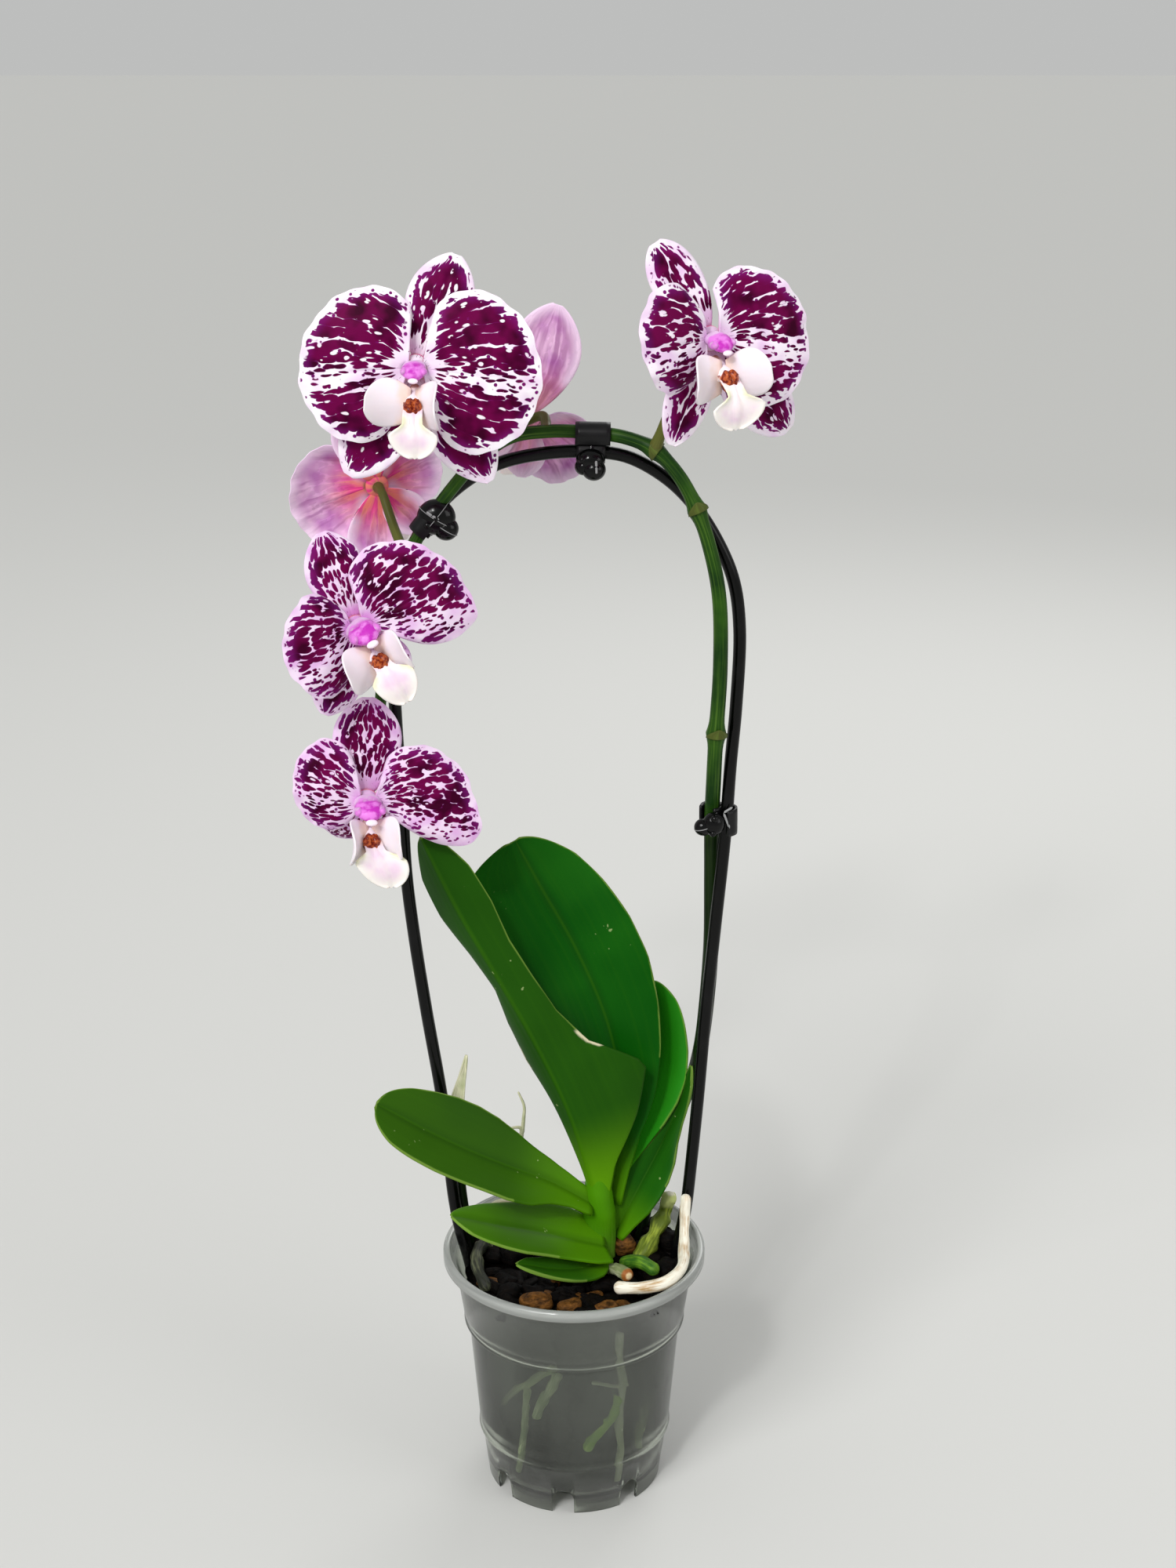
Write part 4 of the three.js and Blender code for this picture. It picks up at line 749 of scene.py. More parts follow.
def stemParts():
    f = stemShape
    shares = np.linspace(0, 1, 260)
    line = alongSpline(f["path"], shares)[0]
    turnAt = f["middleAt"]
    radii = np.where(shares < turnAt, f["foot"] + (f["middle"] - f["foot"]) * (shares / turnAt) ** 2,
                     f["middle"] + (f["tip"] - f["middle"]) * (shares - turnAt) / (1 - turnAt))
    for joint in f["joints"]:
        away = np.linalg.norm(line - joint, axis=1)
        radii = (radii + f["jointSwell"] * np.exp(-((away / f["jointLength"]) ** 2))
                 + f["ringSwell"] * np.exp(-((away / f["ringLength"]) ** 2)))
    parts = [rodPart(line, roundedEnds(line, radii, start=False), 20)]
    # a dry sheath scale hugs each joint
    for joint in f["joints"]:
        i = int(np.argmin(np.linalg.norm(line - joint, axis=1)))
        ahead = unit(line[i + 2] - line[i - 2])
        beside = unit(np.cross(ahead, [0.2, -1, 0.1]))
        front = np.cross(beside, ahead)
        radius = radii[i] + 0.15

        def surface(a, b):
            turn = b * (1 - 0.92 * a ** 1.5) * 1.3
            grown = radius + 0.25 * a
            return offBy(line[i], (ahead, a * f["scaleLength"] - f["scaleUnder"]),
                         (beside, np.sin(turn) * grown), (front, np.cos(turn) * grown))

        scale = bladePart(np.linspace(0, 1, 12), 15, surface, lambda a, b: 0.55 - 0.3 * a, (7, 40))
        parts.append(labelled(scale, 0.55))
    t = np.linspace(0, 1, 40)
    size = f["stalkRoot"] + (f["stalkTip"] - f["stalkRoot"]) * t
    size = size + 0.5 * np.exp(-((t / 0.08) ** 2)) + 0.5 * np.exp(-(((t - 1) / 0.1) ** 2))
    for bloom in blooms.values():
        pose = bloomPose(bloom)
        back = [tuple(pose @ Vector((0, 0, z))) for z in (-10.35, -3.2)]
        parts.append(labelled(rodPart(alongSpline(bloom["pedicel"] + back, t)[0], size, 16), 0.3))
    return parts


makePiece("flowerStem", stemParts(), [stemSkin()], "green_stem", "flower_stem")

# wire hoop
hoopShape = {
    "radius": 2.1, "steps": 320, "sides": 22,
    "path": [
        (-30, 2.6, 40), (-33.4, 3, 62), (-36.6, 3.4, 80), (-39.4, 5, 90), (-41.6, 8, 101), (-45, 13, 134),
        (-50, 15, 168), (-53.3, 15, 194), (-55.6, 15, 218), (-56.4, 15, 243), (-57.6, 15, 272),
        (-57.8, 15, 296), (-55.4, 15, 316), (-49.6, 15, 331), (-41.6, 15, 342.5), (-32.1, 15, 350.6),
        (-22.2, 15, 355.6), (-7.5, 15, 358.6), (5.5, 15, 359), (17.1, 15, 357.4), (29.4, 15, 350.6),
        (38.5, 15, 341.6), (46, 15, 330), (51.2, 15, 317.5), (53.4, 15, 302), (52.8, 15, 276),
        (51.4, 15, 256), (50.2, 15, 233), (47.4, 14, 200), (44.7, 13, 169), (42.4, 11, 137), (40.3, 9, 113),
        (38.7, 7, 98), (36.2, 6, 84), (33.2, 5.4, 62), (29.8, 5, 40),
    ],
}


# steel wire in an extruded black plastic coat: even, nearly mirror-smooth, a few dull rubs
def coatedWire():
    material, add, place = newMaterial("coated_wire_black")
    rub = add("TexNoise", {"Vector": place, "Scale": 1000 / 9.0, "Detail": 4.0})
    colour = add("MixRGB", [add("MapRange", [rub, 0.5, 0.75, 0, 0.7]), "#030303", "#0f0f10"])
    rough = add("MapRange", [rub, 0.4, 0.7, 0.14, 0.3])
    return closed(material, add, colour, rough, 1.5, 0.2, (rub, 0.1, 0.0003))


hoopLine = alongSpline(hoopShape["path"], np.linspace(0, 1, hoopShape["steps"]))[0]
hoopRod = rodPart(hoopLine, np.full(hoopShape["steps"], hoopShape["radius"]), hoopShape["sides"])
makePiece("wireHoop", [hoopRod], [coatedWire()], "black_wire", "wire_hoop")
print("stem and hoop made")

# clips
# band and collar: the places where a clip holds the stem and the wire
# domes: place, size, ribs as degrees round the line of sight; balls: place, radius; ridge: a thin raised line
clips = {
    "clip_top": {
        "band": (6.3, 14.4, 364.5), "collar": (5.7, 14.8, 359), "along": (1, 0, -0.02), "open": (0, 0, -1),
        "long": (11, 9),
        "domes": [((5.6, 11.2, 357.0), (4.6, 3.8, 3.6), ()), ((6.6, 10.2, 354.2), (3.8, 3.6, 3.5), ()),
                  ((3.4, 10.8, 355.0), (2.8, 2.9, 2.7), ())],
        "balls": [((3.0, 8.8, 357.4), 1.2)],
        "ridge": [(7.3, 7.9, 357.4), (7.4, 6.9, 355.6), (7.4, 6.9, 353.4)],
    },
    "clip_left": {
        "band": (-45.7, 8.6, 337.5), "collar": (-45, 15, 337), "along": (-0.62, 0.02, -0.78),
        "open": (0.7, -0.2, -0.6), "long": (8, 8),
        "domes": [((-42.6, 8.4, 339.6), (6.1, 4.2, 5.7), (50, -32)),
                  ((-39.6, 8.2, 336.0), (4.0, 3.6, 3.8), (-32,))],
        "balls": [((-45.2, 5.2, 337.6), 1.2), ((-42.4, 4.6, 339.8), 1.0)],
        "ridge": [(-45.4, 4.8, 342), (-43.6, 4.2, 340.8), (-41.4, 4.2, 339.6)],
    },
    "clip_right": {
        "band": (45.85, 17.6, 237), "collar": (50.2, 15, 237), "along": (0.02, 0.06, -1),
        "open": (-0.6, -0.8, 0), "long": (9, 9),
        "domes": [((46.0, 11.0, 237), (3.6, 3.2, 4.0), ()), ((42.6, 11.2, 235.8), (3.0, 2.8, 2.9), (15,))],
        "balls": [((46.2, 8.8, 239.4), 1.3), ((45.7, 8.7, 234.4), 1.1)],
        "ridge": [(52.2, 11.6, 242.6), (49.2, 11.0, 240.8), (51.4, 11.2, 235.2)],
    },
}
clipShape = {"radius": 3.4, "slot": 84, "wall": 0.8, "thicker": 0.25, "flare": 0.5, "rib": 0.32, "web": 1.5,
             "ridge": 0.4}


# injection-moulded black polypropylene: smooth, glossy, with small hot highlights, and a painted highlight of
# pale grey on its ribs and ridges
def mouldedClip():
    material, add, place = newMaterial("moulded_clip_black")
    haze = add("TexNoise", {"Vector": place, "Scale": 1000 / 3.0, "Detail": 3.0})
    # side holds 1 on the ribs and ridges, whose tops carry a painted highlight of pale grey, and 0.4 on the
    # dull bands
    side = add("Attribute", attribute_name="side", out="Fac")
    colour = add("MixRGB", [haze, "#020202", "#080809"])
    colour = add("MixRGB", [add("MapRange", [side, 0.1, 0.4, 0, 0.8]), colour, "#121213"])
    colour = add("MixRGB", [add("MapRange", [side, 0.7, 1, 0, 0.85]), colour, "#9b9c9c"])
    rough = add("MapRange", [haze, 0.35, 0.7, 0.1, 0.24])
    rough = add("Math", [side, 0.45, rough], **timesPlus)
    return closed(material, add, colour, rough, 1.5, 0.22)


# a split sleeve round a line through at, whose slot looks toward opening
def sleevePart(at, along, opening, length):
    f = clipShape
    along = unit(np.array(along, float))
    opening = np.array(opening, float)
    opening = unit(opening - along * np.dot(opening, along))
    third = np.cross(along, opening)

    def surface(a, b):
        turn = math.pi + b * math.radians(180 - f["slot"] / 2)
        flare = f["radius"] + f["flare"] * np.abs(b) ** 14
        return offBy(np.array(at), (along, (a - 0.5) * length), (opening, np.cos(turn) * flare),
                     (third, np.sin(turn) * flare))

    return bladePart(np.linspace(0, 1, 9), 41, surface,
                     lambda a, b: f["wall"] + f["thicker"] * np.exp(-(((a - 0.5) / 0.5) ** 8)), (1, 1))


# places on a straight line
def straight(first, last, shares):
    return [tuple(Vector(first).lerp(Vector(last), t)) for t in shares]


# ribs stand proud of the domes, and a web runs back from each dome to both sleeves; side: see mouldedClip
def clipParts(clip):
    f, parts = clipShape, []
    for kind, length in zip(("band", "collar"), clip["long"]):
        parts.append(labelled(sleevePart(clip[kind], clip["along"], clip["open"], length), 0.4))
    for at, size, turns in clip["domes"]:
        parts.append(labelled(lumpPart(at, size, rings=20, sides=32), 0))
        for turn in turns:
            ribSize = (size[0] * 1.04, size[1] * 1.1, f["rib"])
            parts.append(lumpPart(at, ribSize, rotation(-turn, "Y"), rings=12, sides=32))
        for start in (clip["band"], clip["collar"]):
            web = straight(start, at, np.linspace(0.2, 0.95, 8))
            parts.append(labelled(rodPart(web, np.full(8, f["web"]), 12), 0))
    for ball, radius in clip["balls"]:
        parts.append(labelled(lumpPart(ball, (radius,) * 3, rings=14, sides=22), 0))
    for first, last in zip(clip["ridge"], clip["ridge"][1:]):
        line = straight(first, last, np.linspace(0, 1, 8))
        parts.append(rodPart(line, roundedEnds(line, np.full(8, f["ridge"])), 10))
    return parts


clipLook = mouldedClip()
for clipName, clip in clips.items():
    makePiece("moulded_" + clipName, clipParts(clip), [clipLook], "black_clip", clipName)
print("clips made")

# leaves
# middle: places along the midrib; face: where the upper side looks; fold: degrees at the base and at the tip
# right, left: half widths at eleven even shares of the length; young: millimetres of young tissue at the base
leaves = {
    "leaf_1": {
        "middle": [(12.5, 10, 98), (16.4, 13, 134), (11.8, 18, 161), (0.8, 24, 187), (-11.5, 30, 208),
                   (-20, 34, 223)],
        "face": (0.1, -0.93, 0.35), "fold": (26, 1),
        "right": [4, 5, 7, 12, 16, 19, 21.5, 21.5, 20, 17.5, 12],
        "left": [4, 5, 8, 12, 15, 17.5, 19.5, 22, 25, 31, 30],
        "upper": ("#074805", "#135808"), "under": ("#2f5a0c", "#33600a"), "young": 30,
    },
    "leaf_2": {
        "middle": [(9, 3.5, 100), (-1, 1, 137), (-13, 0, 165), (-25, -2, 189), (-36.5, -3, 211),
                   (-48.8, -2, 237)],
        "face": (0.39, 0.92, -0.07), "fold": (27, 27),
        "right": [2.6, 3.6, 6, 8, 11, 10, 6, 8.5, 12.5, 12.5, 7],
        "left": [2.6, 9, 20.5, 30, 15.5, 11, 10, 9.5, 11, 10.5, 7],
        "upper": ("#124406", "#1b5008"), "under": ("#1a4606", "#1f4e08"), "young": 38,
        "scar": (55, 66),
    },
    "leaf_3": {
        "middle": [(12.5, 13, 98), (21.5, 19.5, 121), (28.5, 26, 139), (30, 32, 157), (27.5, 36, 170)],
        "face": (-0.1, -0.92, 0.38), "fold": (24, 10),
        "right": [3, 2.5, 4, 6.5, 9, 10.5, 11, 10.4, 9, 7.4, 5],
        "left": [3, 3, 5, 8, 10, 11, 12, 12, 11, 9, 6],
        "upper": ("#1d7a0c", "#248812"), "under": ("#2f5a0c", "#33600a"), "young": 24,
    },
    "leaf_4": {
        "middle": [(14, 8.5, 86), (22.5, 13, 102), (30.7, 17, 117.5), (36.6, 20.5, 131), (40.4, 22.6, 144)],
        "face": (-0.3, -0.88, 0.36), "fold": (24, 14),
        "right": [4, 6, 8.6, 9.6, 9.6, 8.2, 5.6, 4.2, 3.6, 3, 1.6],
        "left": [4, 5.5, 7.2, 8.2, 6, 4.4, 3, 2.2, 2, 2, 1.4],
        "upper": ("#124c06", "#1c580a"), "under": ("#2f5a0c", "#33600a"), "young": 22,
    },
    "leaf_5": {
        "middle": [(6, 3, 101), (-8.6, -1, 112), (-21.7, -4, 119), (-34.7, -7, 126.5), (-50, -9.5, 136),
                   (-65.4, -11, 146.3)],
        "face": (0.3, -0.6, 0.74), "fold": (20, 8),
        "right": [4, 5, 6.5, 9, 12.2, 14.6, 15.6, 15.2, 13.6, 11.6, 9],
        "left": [5, 6, 9, 13.2, 14, 13.6, 13.5, 13.4, 12.8, 12, 10],
        "upper": ("#244a06", "#2c5408"), "under": ("#335e0c", "#3f6c10"), "young": 40,
    },
    "leaf_6": {
        "middle": [(10.5, -0.6, 86.4), (-8.5, -8, 95.2), (-24.1, -16, 103), (-40.5, -22, 110.6)],
        "face": (0.1, -0.3, 0.95), "fold": (12, 4),
        "right": [9, 11.5, 13.5, 13.8, 13, 12.4, 11, 9.6, 8, 6, 4],
        "left": [9, 11.2, 11.6, 11.8, 12, 12, 12, 10.8, 9.4, 8, 5],
        "upper": ("#345e0c", "#40700c"), "under": ("#3f6c10", "#4a7814"), "young": 36,
    },
    "leaf_7": {
        "middle": [(10, -3, 82), (3, -11.5, 84.4), (-7, -17.2, 87.4), (-19, -21, 92)],
        "face": (0.1, -0.35, 0.93), "fold": (16, 6),
        "right": [4, 5, 6, 6, 6, 6, 5.5, 5, 4, 3.4, 2],
        "left": [3, 5, 6.4, 6.6, 6.4, 6, 5.4, 4.6, 3.8, 3, 2],
        "upper": ("#224e08", "#2a580a"), "under": ("#335e0c", "#3f6c10"), "young": 16,
    },
}
leafShape = {"thick": 1.9, "rim": 0.7, "groove": 0.3, "grooveHalf": 1.3, "wave": 0.35, "rows": 70,
             "columns": 33, "veinLength": 90, "veinPitch": 1.6, "roughness": 0.4}


# orchid leaf: thick, leathery, waxy green skin with faint veins along it, a thin pale margin and some dust
def waxyLeaf(name, leaf, seed):
    material, add, place = newMaterial(name)
    marks, along, across, edge = readMarks(add)
    side = add("Attribute", attribute_name="side", out="Fac")
    isUpper = add("MapRange", [side, -0.5, 0.5], **smooth)
    cloud = add("TexNoise", {"Vector": place, "Scale": 1000 / 38.0, "Detail": 2.0})
    upper = add("MixRGB", [add("MapRange", [cloud, 0.32, 0.68], **smooth), *leaf["upper"]])
    lower = add("MixRGB", [add("MapRange", [cloud, 0.3, 0.7], **smooth), *leaf["under"]])
    colour = add("MixRGB", [isUpper, lower, upper])
    # young tissue at the sheath is yellow green
    young = add("MixRGB", [isUpper, "#5c9408", "#4c8207"])
    colour = laid(add, colour, (along, 0.12 * leaf["young"], leaf["young"], 0.95, 0, young))
    pitch = (1 / leafShape["veinLength"], 1 / leafShape["veinPitch"], 0)
    veins = add("Mapping", {"Vector": marks, "Location": (0, 0, seed), "Scale": pitch})
    veins = add("TexNoise", {"Vector": veins, "Scale": 1.0, "Detail": 3.0})
    fromMiddle = add("Math", [across], **bare)
    colour = laid(add, colour, (veins, 0.45, 0.72, 0, 0.05, "#3d7508"),
                  (fromMiddle, 0.1, 0.9, 0.25, 0, "#3f7408"))
    # painted shade: a dark band either side of the midrib groove, on the upper side only
    beside = add("MapRange", [fromMiddle, 0.7, 3.2, 0.25, 0], **smooth)
    colour = add("MixRGB", [add("Math", [beside, isUpper], **times), colour, "#0b2c04"])
    wavyEdge = add("Math", [edge, add("MapRange", [veins, 0.3, 0.7, -0.1, 0.2], **smooth)], **plus)
    colour = laid(add, colour, (wavyEdge, 0.1, 0.6, 0.45, 0, "#8fae4c"))
    if "scar" in leaf:
        # a dried scar along a stretch of the edge, in millimetres from the base
        first, last = leaf["scar"]
        scar = add("Math", [add("MapRange", [along, first, first + 2], **smooth),
                            add("MapRange", [along, last - 2, last, 1, 0], **smooth)], **times)
        scar = add("Math", [scar, add("MapRange", [wavyEdge, 0.5, 1.5, 0.9, 0], **smooth)], **times)
        colour = add("MixRGB", [scar, colour, "#d8cfae"])
    # dust and dried drops, in a few places only
    dust = add("TexNoise", {"Vector": place, "Scale": 1000 / 2.2, "Detail": 2.0})
    dustRoom = add("TexNoise", {"Vector": place, "Scale": 1000 / 25.0})
    dustLevel = add("Math", [dust, add("MapRange", [dustRoom, 0.35, 0.7, 0.8, 0.68], **smooth)], **minus)
    colour = laid(add, colour, (dustLevel, 0, 0.05, 0, 0.5, "#a9bb7c"))
    rough = add("MapRange", [cloud, 0.3, 0.7, leafShape["roughness"] - 0.06, leafShape["roughness"] + 0.1])
    return closed(material, add, colour, rough, 1.45, 0.06, (veins, 0.14, 0.0004))


def leafPart(leaf, seed):
    f, listShares = leafShape, np.linspace(0, 1, 11)
    length = np.linalg.norm(np.diff(splineTable(leaf["middle"]), axis=0), axis=1).sum()

    def halfAt(a, b):
        return np.where(b > 0, *[np.interp(a, listShares, leaf[side]) for side in ("right", "left")])

    def surface(a, b):
        centre, ahead = alongSpline(leaf["middle"], a)
        beside = unit(np.cross(ahead, np.array(leaf["face"], float)))
        out = unit(np.cross(beside, ahead))
        half = halfAt(a, b) * np.sqrt(np.maximum(1 - 0.98 * a ** 16, 0))
        fold = np.radians(leaf["fold"][0] + (leaf["fold"][1] - leaf["fold"][0]) * a)
        rise = half * np.abs(b) ** 1.3 * np.sin(fold)
        groove = f["groove"] * np.exp(-((half * b / f["grooveHalf"]) ** 2))
        wave = f["wave"] * np.abs(b) ** 2 * np.sin(7 * a + seed + 1.5 * b)
        return offBy(centre, (beside, half * b * np.cos(fold)), (out, rise - groove + wave))

    across = np.sin(np.linspace(-math.pi / 2, math.pi / 2, f["columns"])) * 0.6
    across = across + np.linspace(-1, 1, f["columns"]) * 0.4
    part = bladePart(tipShares(f["rows"]), across, surface,
                     lambda a, b: thinned(f, np.sqrt(np.maximum(1 - b ** 4, 0)) * (1 - a ** 14)),
                     lambda a, b: (length * a, halfAt(a, b) * b))
    # its upper side is the one that looks toward the face vector
    return labelled(part, -part[3])


for index, (leafName, leaf) in enumerate(leaves.items()):
    look = waxyLeaf("waxy_" + leafName, leaf, 3.1 * index)
    makePiece(leafName.replace("leaf_", "leafBlade"), [leafPart(leaf, 1.7 * index)], [look], "leaf", leafName)

# crown
crownShape = {"path": [(9.6, 8, 70), (9.4, 7.6, 84), (8.6, 6, 98), (7.6, 5, 113.5)], "sides": 32,
              "radii": ([0, 0.3, 0.62, 0.8, 1], [4.8, 4.8, 5.6, 5.6 * 0.86, 3.0]),
              "upper": ("#3c7806", "#528f0a"), "under": ("#3c7806", "#528f0a"), "young": 1}
crownShares = crowdedShares(60)
crownLine = alongSpline(crownShape["path"], crownShares)[0]
crownTurn = np.linspace(0, 2 * math.pi, crownShape["sides"], endpoint=False)
crownSize = roundedEnds(crownLine, np.interp(crownShares, *crownShape["radii"]), start=False)
crownRadii = [r * (1 + 0.06 * np.cos(2 * crownTurn + 0.6) + 0.03 * np.cos(3 * crownTurn + 9 * t))
              for r, t in zip(crownSize, crownShares)]
makePiece("leafCrown", [rodPart(crownLine, crownRadii, crownShape["sides"])],
          [waxyLeaf("waxy_crown", crownShape, 40)], "young_green", "crown")
print("leaves made")

# roots
# radii at both ends; rough: how uneven; wave: how much it swells; end: from where, its skin and its core
roots = {
    "root_white": {
        "path": [(13.5, -22.7, 84), (23.1, -25.2, 85.4), (31, -24.4, 87), (36.2, -18, 88.4), (37.6, -6, 89),
                 (37.9, 0, 93), (38.4, 3, 105)],
        "radii": (2.2, 1.7), "tones": ("#f2eddc", "#b8935e"), "slot": "dry_root", "rough": 0.10,
    },
    "root_cut": {
        "path": [(11.4, -3, 79), (14.6, -8.6, 82.6), (18.8, -16.4, 84.4)],
        "radii": (1.7, 2.5), "tones": ("#7f8a5c", "#c4c8a4"), "slot": "silver_root", "rough": 0.08,
        "wave": 0.03, "end": (0.86, "#9a5a22", "#e8cfa0"),
    },
    "root_green": {
        "path": [(16.5, 1.4, 79), (23.1, -5.9, 83.6), (28.6, -11.4, 83)],
        "radii": (2.5, 2.3), "tones": ("#2f5f0e", "#6d9a1e"), "slot": "green_root", "rough": 0.05,
        "wave": 0.03,
    },
    "root_knobbly": {
        "path": [(22, 2, 79), (26, 6.4, 83.6), (29.2, 11.4, 87), (31.6, 15.6, 91), (33.6, 15.4, 99)],
        "radii": (3.1, 2.4), "tones": ("#5b6c18", "#a5b53c"), "slot": "green_root", "rough": 0.45,
        "wave": 0.12, "end": (0.78, "#bcc67a", "#ece8d2"),
    },
    "root_silver": {
        "path": [(-27, 6, 76), (-31, 9, 81.6), (-33.4, 3, 82.6), (-32.6, -8, 81.4), (-29, -15, 78)],
        "radii": (2.3, 2), "tones": ("#24261c", "#6a6e52"), "slot": "silver_root", "rough": 0.2,
    },
    "root_back": {
        "path": [(-32, 17, 79), (-30.4, 22.6, 87), (-26.6, 24.2, 89.6), (-22.5, 26.4, 87.6), (-18, 28, 78)],
        "radii": (1.6, 1.6), "tones": ("#d9d3b6", "#a89c74"), "slot": "dry_root", "rough": 0.06,
    },
}


# root skin, the spongy velamen: matt and felted, wrinkled along its length, blotched where it is wet or worn
def rootSkin(name, tones, end=None):
    material, add, place = newMaterial(name)
    marks, _, _, share = readMarks(add)
    blotch = add("TexNoise", {"Vector": place, "Scale": 1000 / 8.0, "Detail": 4.0})
    wrinkle = add("Mapping", {"Vector": marks, "Scale": (1 / 7, 1 / 22, 0)})
    wrinkle = add("TexNoise", {"Vector": wrinkle, "Scale": 1.0, "Detail": 3.0})
    both = add("Math", [blotch, wrinkle], **times)
    colour = add("MixRGB", [add("MapRange", [both, 0.22, 0.40]), *tones])
    if end:
        # the far end has another skin, then a pale core where it is cut or still grows
        start, skin, core = end
        colour = laid(add, colour, (share, start, start + 0.08, 0, 1, skin), (share, 0.97, 0.995, 0, 1, core))
    return closed(material, add, colour, 0.62, 1.4, 0.5, (wrinkle, 0.5, 0.0005))


def rootPart(root, steps=70, sides=18, look=0):
    shares = crowdedShares(steps)
    line = alongSpline(root["path"], shares)[0]
    start, end = root["radii"]
    radii = (start + (end - start) * shares) * (1 + root.get("wave", 0.08) * np.sin(19 * shares + start))
    radii = roundedEnds(line, radii)
    rings = []
    for place, radius in zip(line, radii):
        pushes = [noise.noise(Vector((*place,)) * 0.28 + Vector((k * 0.7, start, end))) for k in range(sides)]
        rings.append(radius * (1 + root["rough"] * np.array(pushes)))
    return rodPart(line, rings, sides, look)


for rootName, root in roots.items():
    look = rootSkin("skin_" + rootName, root["tones"], root.get("end"))
    makePiece("velamen_" + rootName, [rootPart(root)], [look], root["slot"], rootName)


# dead bract, thin as paper: fibrous, straw coloured, dull
def paperyBract():
    material, add, place = newMaterial("papery_bract")
    marks = add("Attribute", attribute_name="marks", out="Vector")
    fibre = add("Mapping", {"Vector": marks, "Scale": (1 / 12, 1 / 0.5, 0)})
    fibre = add("TexNoise", {"Vector": fibre, "Scale": 1.0, "Detail": 4.0})
    stain = add("TexNoise", {"Vector": place, "Scale": 1000 / 7.0, "Detail": 2.0})
    colour = add("MixRGB", [add("MapRange", [fibre, 0.35, 0.65]), "#b9bb92", "#e9e5c9"])
    colour = add("MixRGB", [add("MapRange", [stain, 0.5, 0.7, 0, 0.6]), colour, "#93a06a"])
    return closed(material, add, colour, 0.75, 1.4, 0.5, (fibre, 0.4, 0.0003))


bractShape = {"stub": [(-34, 8.6, 72), (-37.4, 10, 88), (-39.4, 12.4, 104), (-41, 17.4, 130)],
              "tip": (-36.9, 18, 150.2), "half": 2.9}


def bractParts():
    line = alongSpline(bractShape["stub"], np.linspace(0, 1, 40))[0]
    stub = rodPart(line, np.linspace(2.2, 1.3, 40), 14, look=1)
    root = np.array(bractShape["stub"][3]) + [-0.2, 0, 0]
    tip = np.array(bractShape["tip"])

    def surface(a, b):
        half = bractShape["half"] * (1 - 0.86 * a) * np.minimum(1, 0.55 + 3 * a)
        drop = np.stack([half * b, -1.2 * b * b * (1 - a) + 0.35 * np.sin(9 * a + 2 * b), 0 * a], -1)
        return root + (tip - root) * a[..., None] + drop

    return [stub, bladePart(np.linspace(0, 1, 26), 13, surface, lambda a, b: 0.7 - 0.3 * np.abs(b),
                            (20, bractShape["half"]))]


bractLook = paperyBract()
makePiece("paperyBract", bractParts(), [bractLook, stemSkin()], "dry_bract", "dry_bract")
# a dry forked wisp: the middle of each strand, and its radius at both ends
wispPaths = [
    ([(-20, 18, 74), (-19.6, 17, 105), (-18, 15, 124)], 0.8, 0.8),
    ([(-18, 15, 122), (-17.4, 14.4, 128), (-17.2, 14, 133), (-19.2, 14, 138.4)], 0.8, 0.35),
    ([(-18, 15, 121), (-18.6, 14.4, 124.4), (-20.2, 14, 124.8), (-22.6, 14, 124.2)], 0.8, 0.35),
]
wispParts = []
for path, thick, thin in wispPaths:
    shares = crowdedShares(24)
    line = alongSpline(path, shares)[0]
    wispParts.append(rodPart(line, roundedEnds(line, thick + (thin - thick) * shares), 10))
makePiece("dryWisp", wispParts, [bractLook], "dry_bract", "dry_wisp")
print("roots and dry bits made")

# pot
potShape = {
    "rimRadius": 45, "rimInner": 42.5, "rimBottom": 83.8, "rimTop": 87.6, "wall": 1.1, "foot": 30.4,
    "disc": 20, "floorUnder": 6.2, "floorTop": 7.6, "lowerRingZ": 19.1, "lowerRing": 33.6, "upperRingZ": 61.4,
    "upperRing": 38.2, "shoulder": 41.2, "sides": 144,
    "notches": 8, "firstNotch": -52, "notchWidth": 7.5, "notchHeight": 9.4, "notchReach": (24.0, 36.0),
}


def potOuterAt(z):
    p = potShape
    if z > p["upperRingZ"]:
        t = (z - p["upperRingZ"]) / (p["rimBottom"] - p["upperRingZ"])
        return p["upperRing"] - 0.3 + (p["shoulder"] - p["upperRing"] + 0.3) * t
    if z > p["lowerRingZ"]:
        t = (z - p["lowerRingZ"]) / (p["upperRingZ"] - p["lowerRingZ"])
        return p["lowerRing"] - 0.5 + (p["upperRing"] - 1.5 - p["lowerRing"] + 0.5) * t
    return p["foot"] + (p["lowerRing"] - 1 - p["foot"]) * z / p["lowerRingZ"]


# thin thermoformed polypropylene: clear, a little milkier in a band up the middle of the front and back above
# the foot, whiter at the rolled rim
def milkyPot():
    material, add, place = newMaterial("thermoformed_pot_clear")
    height = add("SeparateXYZ", [place], out=2)
    haze = add("Mapping", {"Vector": place, "Scale": (60, 60, 14)})
    haze = add("TexNoise", {"Vector": haze, "Scale": 1.0, "Detail": 4.0})
    onRim = add("MapRange", [height, 0.0826, 0.0842])
    colour = add("MixRGB", [onRim, "#c0c6ba", "#c9ccc8"])
    clear = add("MapRange", [haze, 0.3, 0.7, 0.995, 0.965])
    aside = add("Math", [add("SeparateXYZ", [place])], **bare)
    milk = add("Math", [add("MapRange", [height, 0.018, 0.045, 0.01, 0.06], **smooth),
                        add("MapRange", [aside, 0.012, 0.03, 1, 0.1], **smooth)], **times)
    clear = add("Math", [clear, milk], **minus)
    clear = add("MixRGB", [onRim, clear, (0.6, 0.6, 0.6, 1)])
    rough = add("MapRange", [haze, 0.3, 0.7, 0.08, 0.2])
    gloss = add("MapRange", [onRim, 0, 1, 0.05, 0.5])
    through = {"Transmission Weight": clear}
    return closed(material, add, colour, rough, 1.49, gloss, (haze, 0.08, 0.001), through)


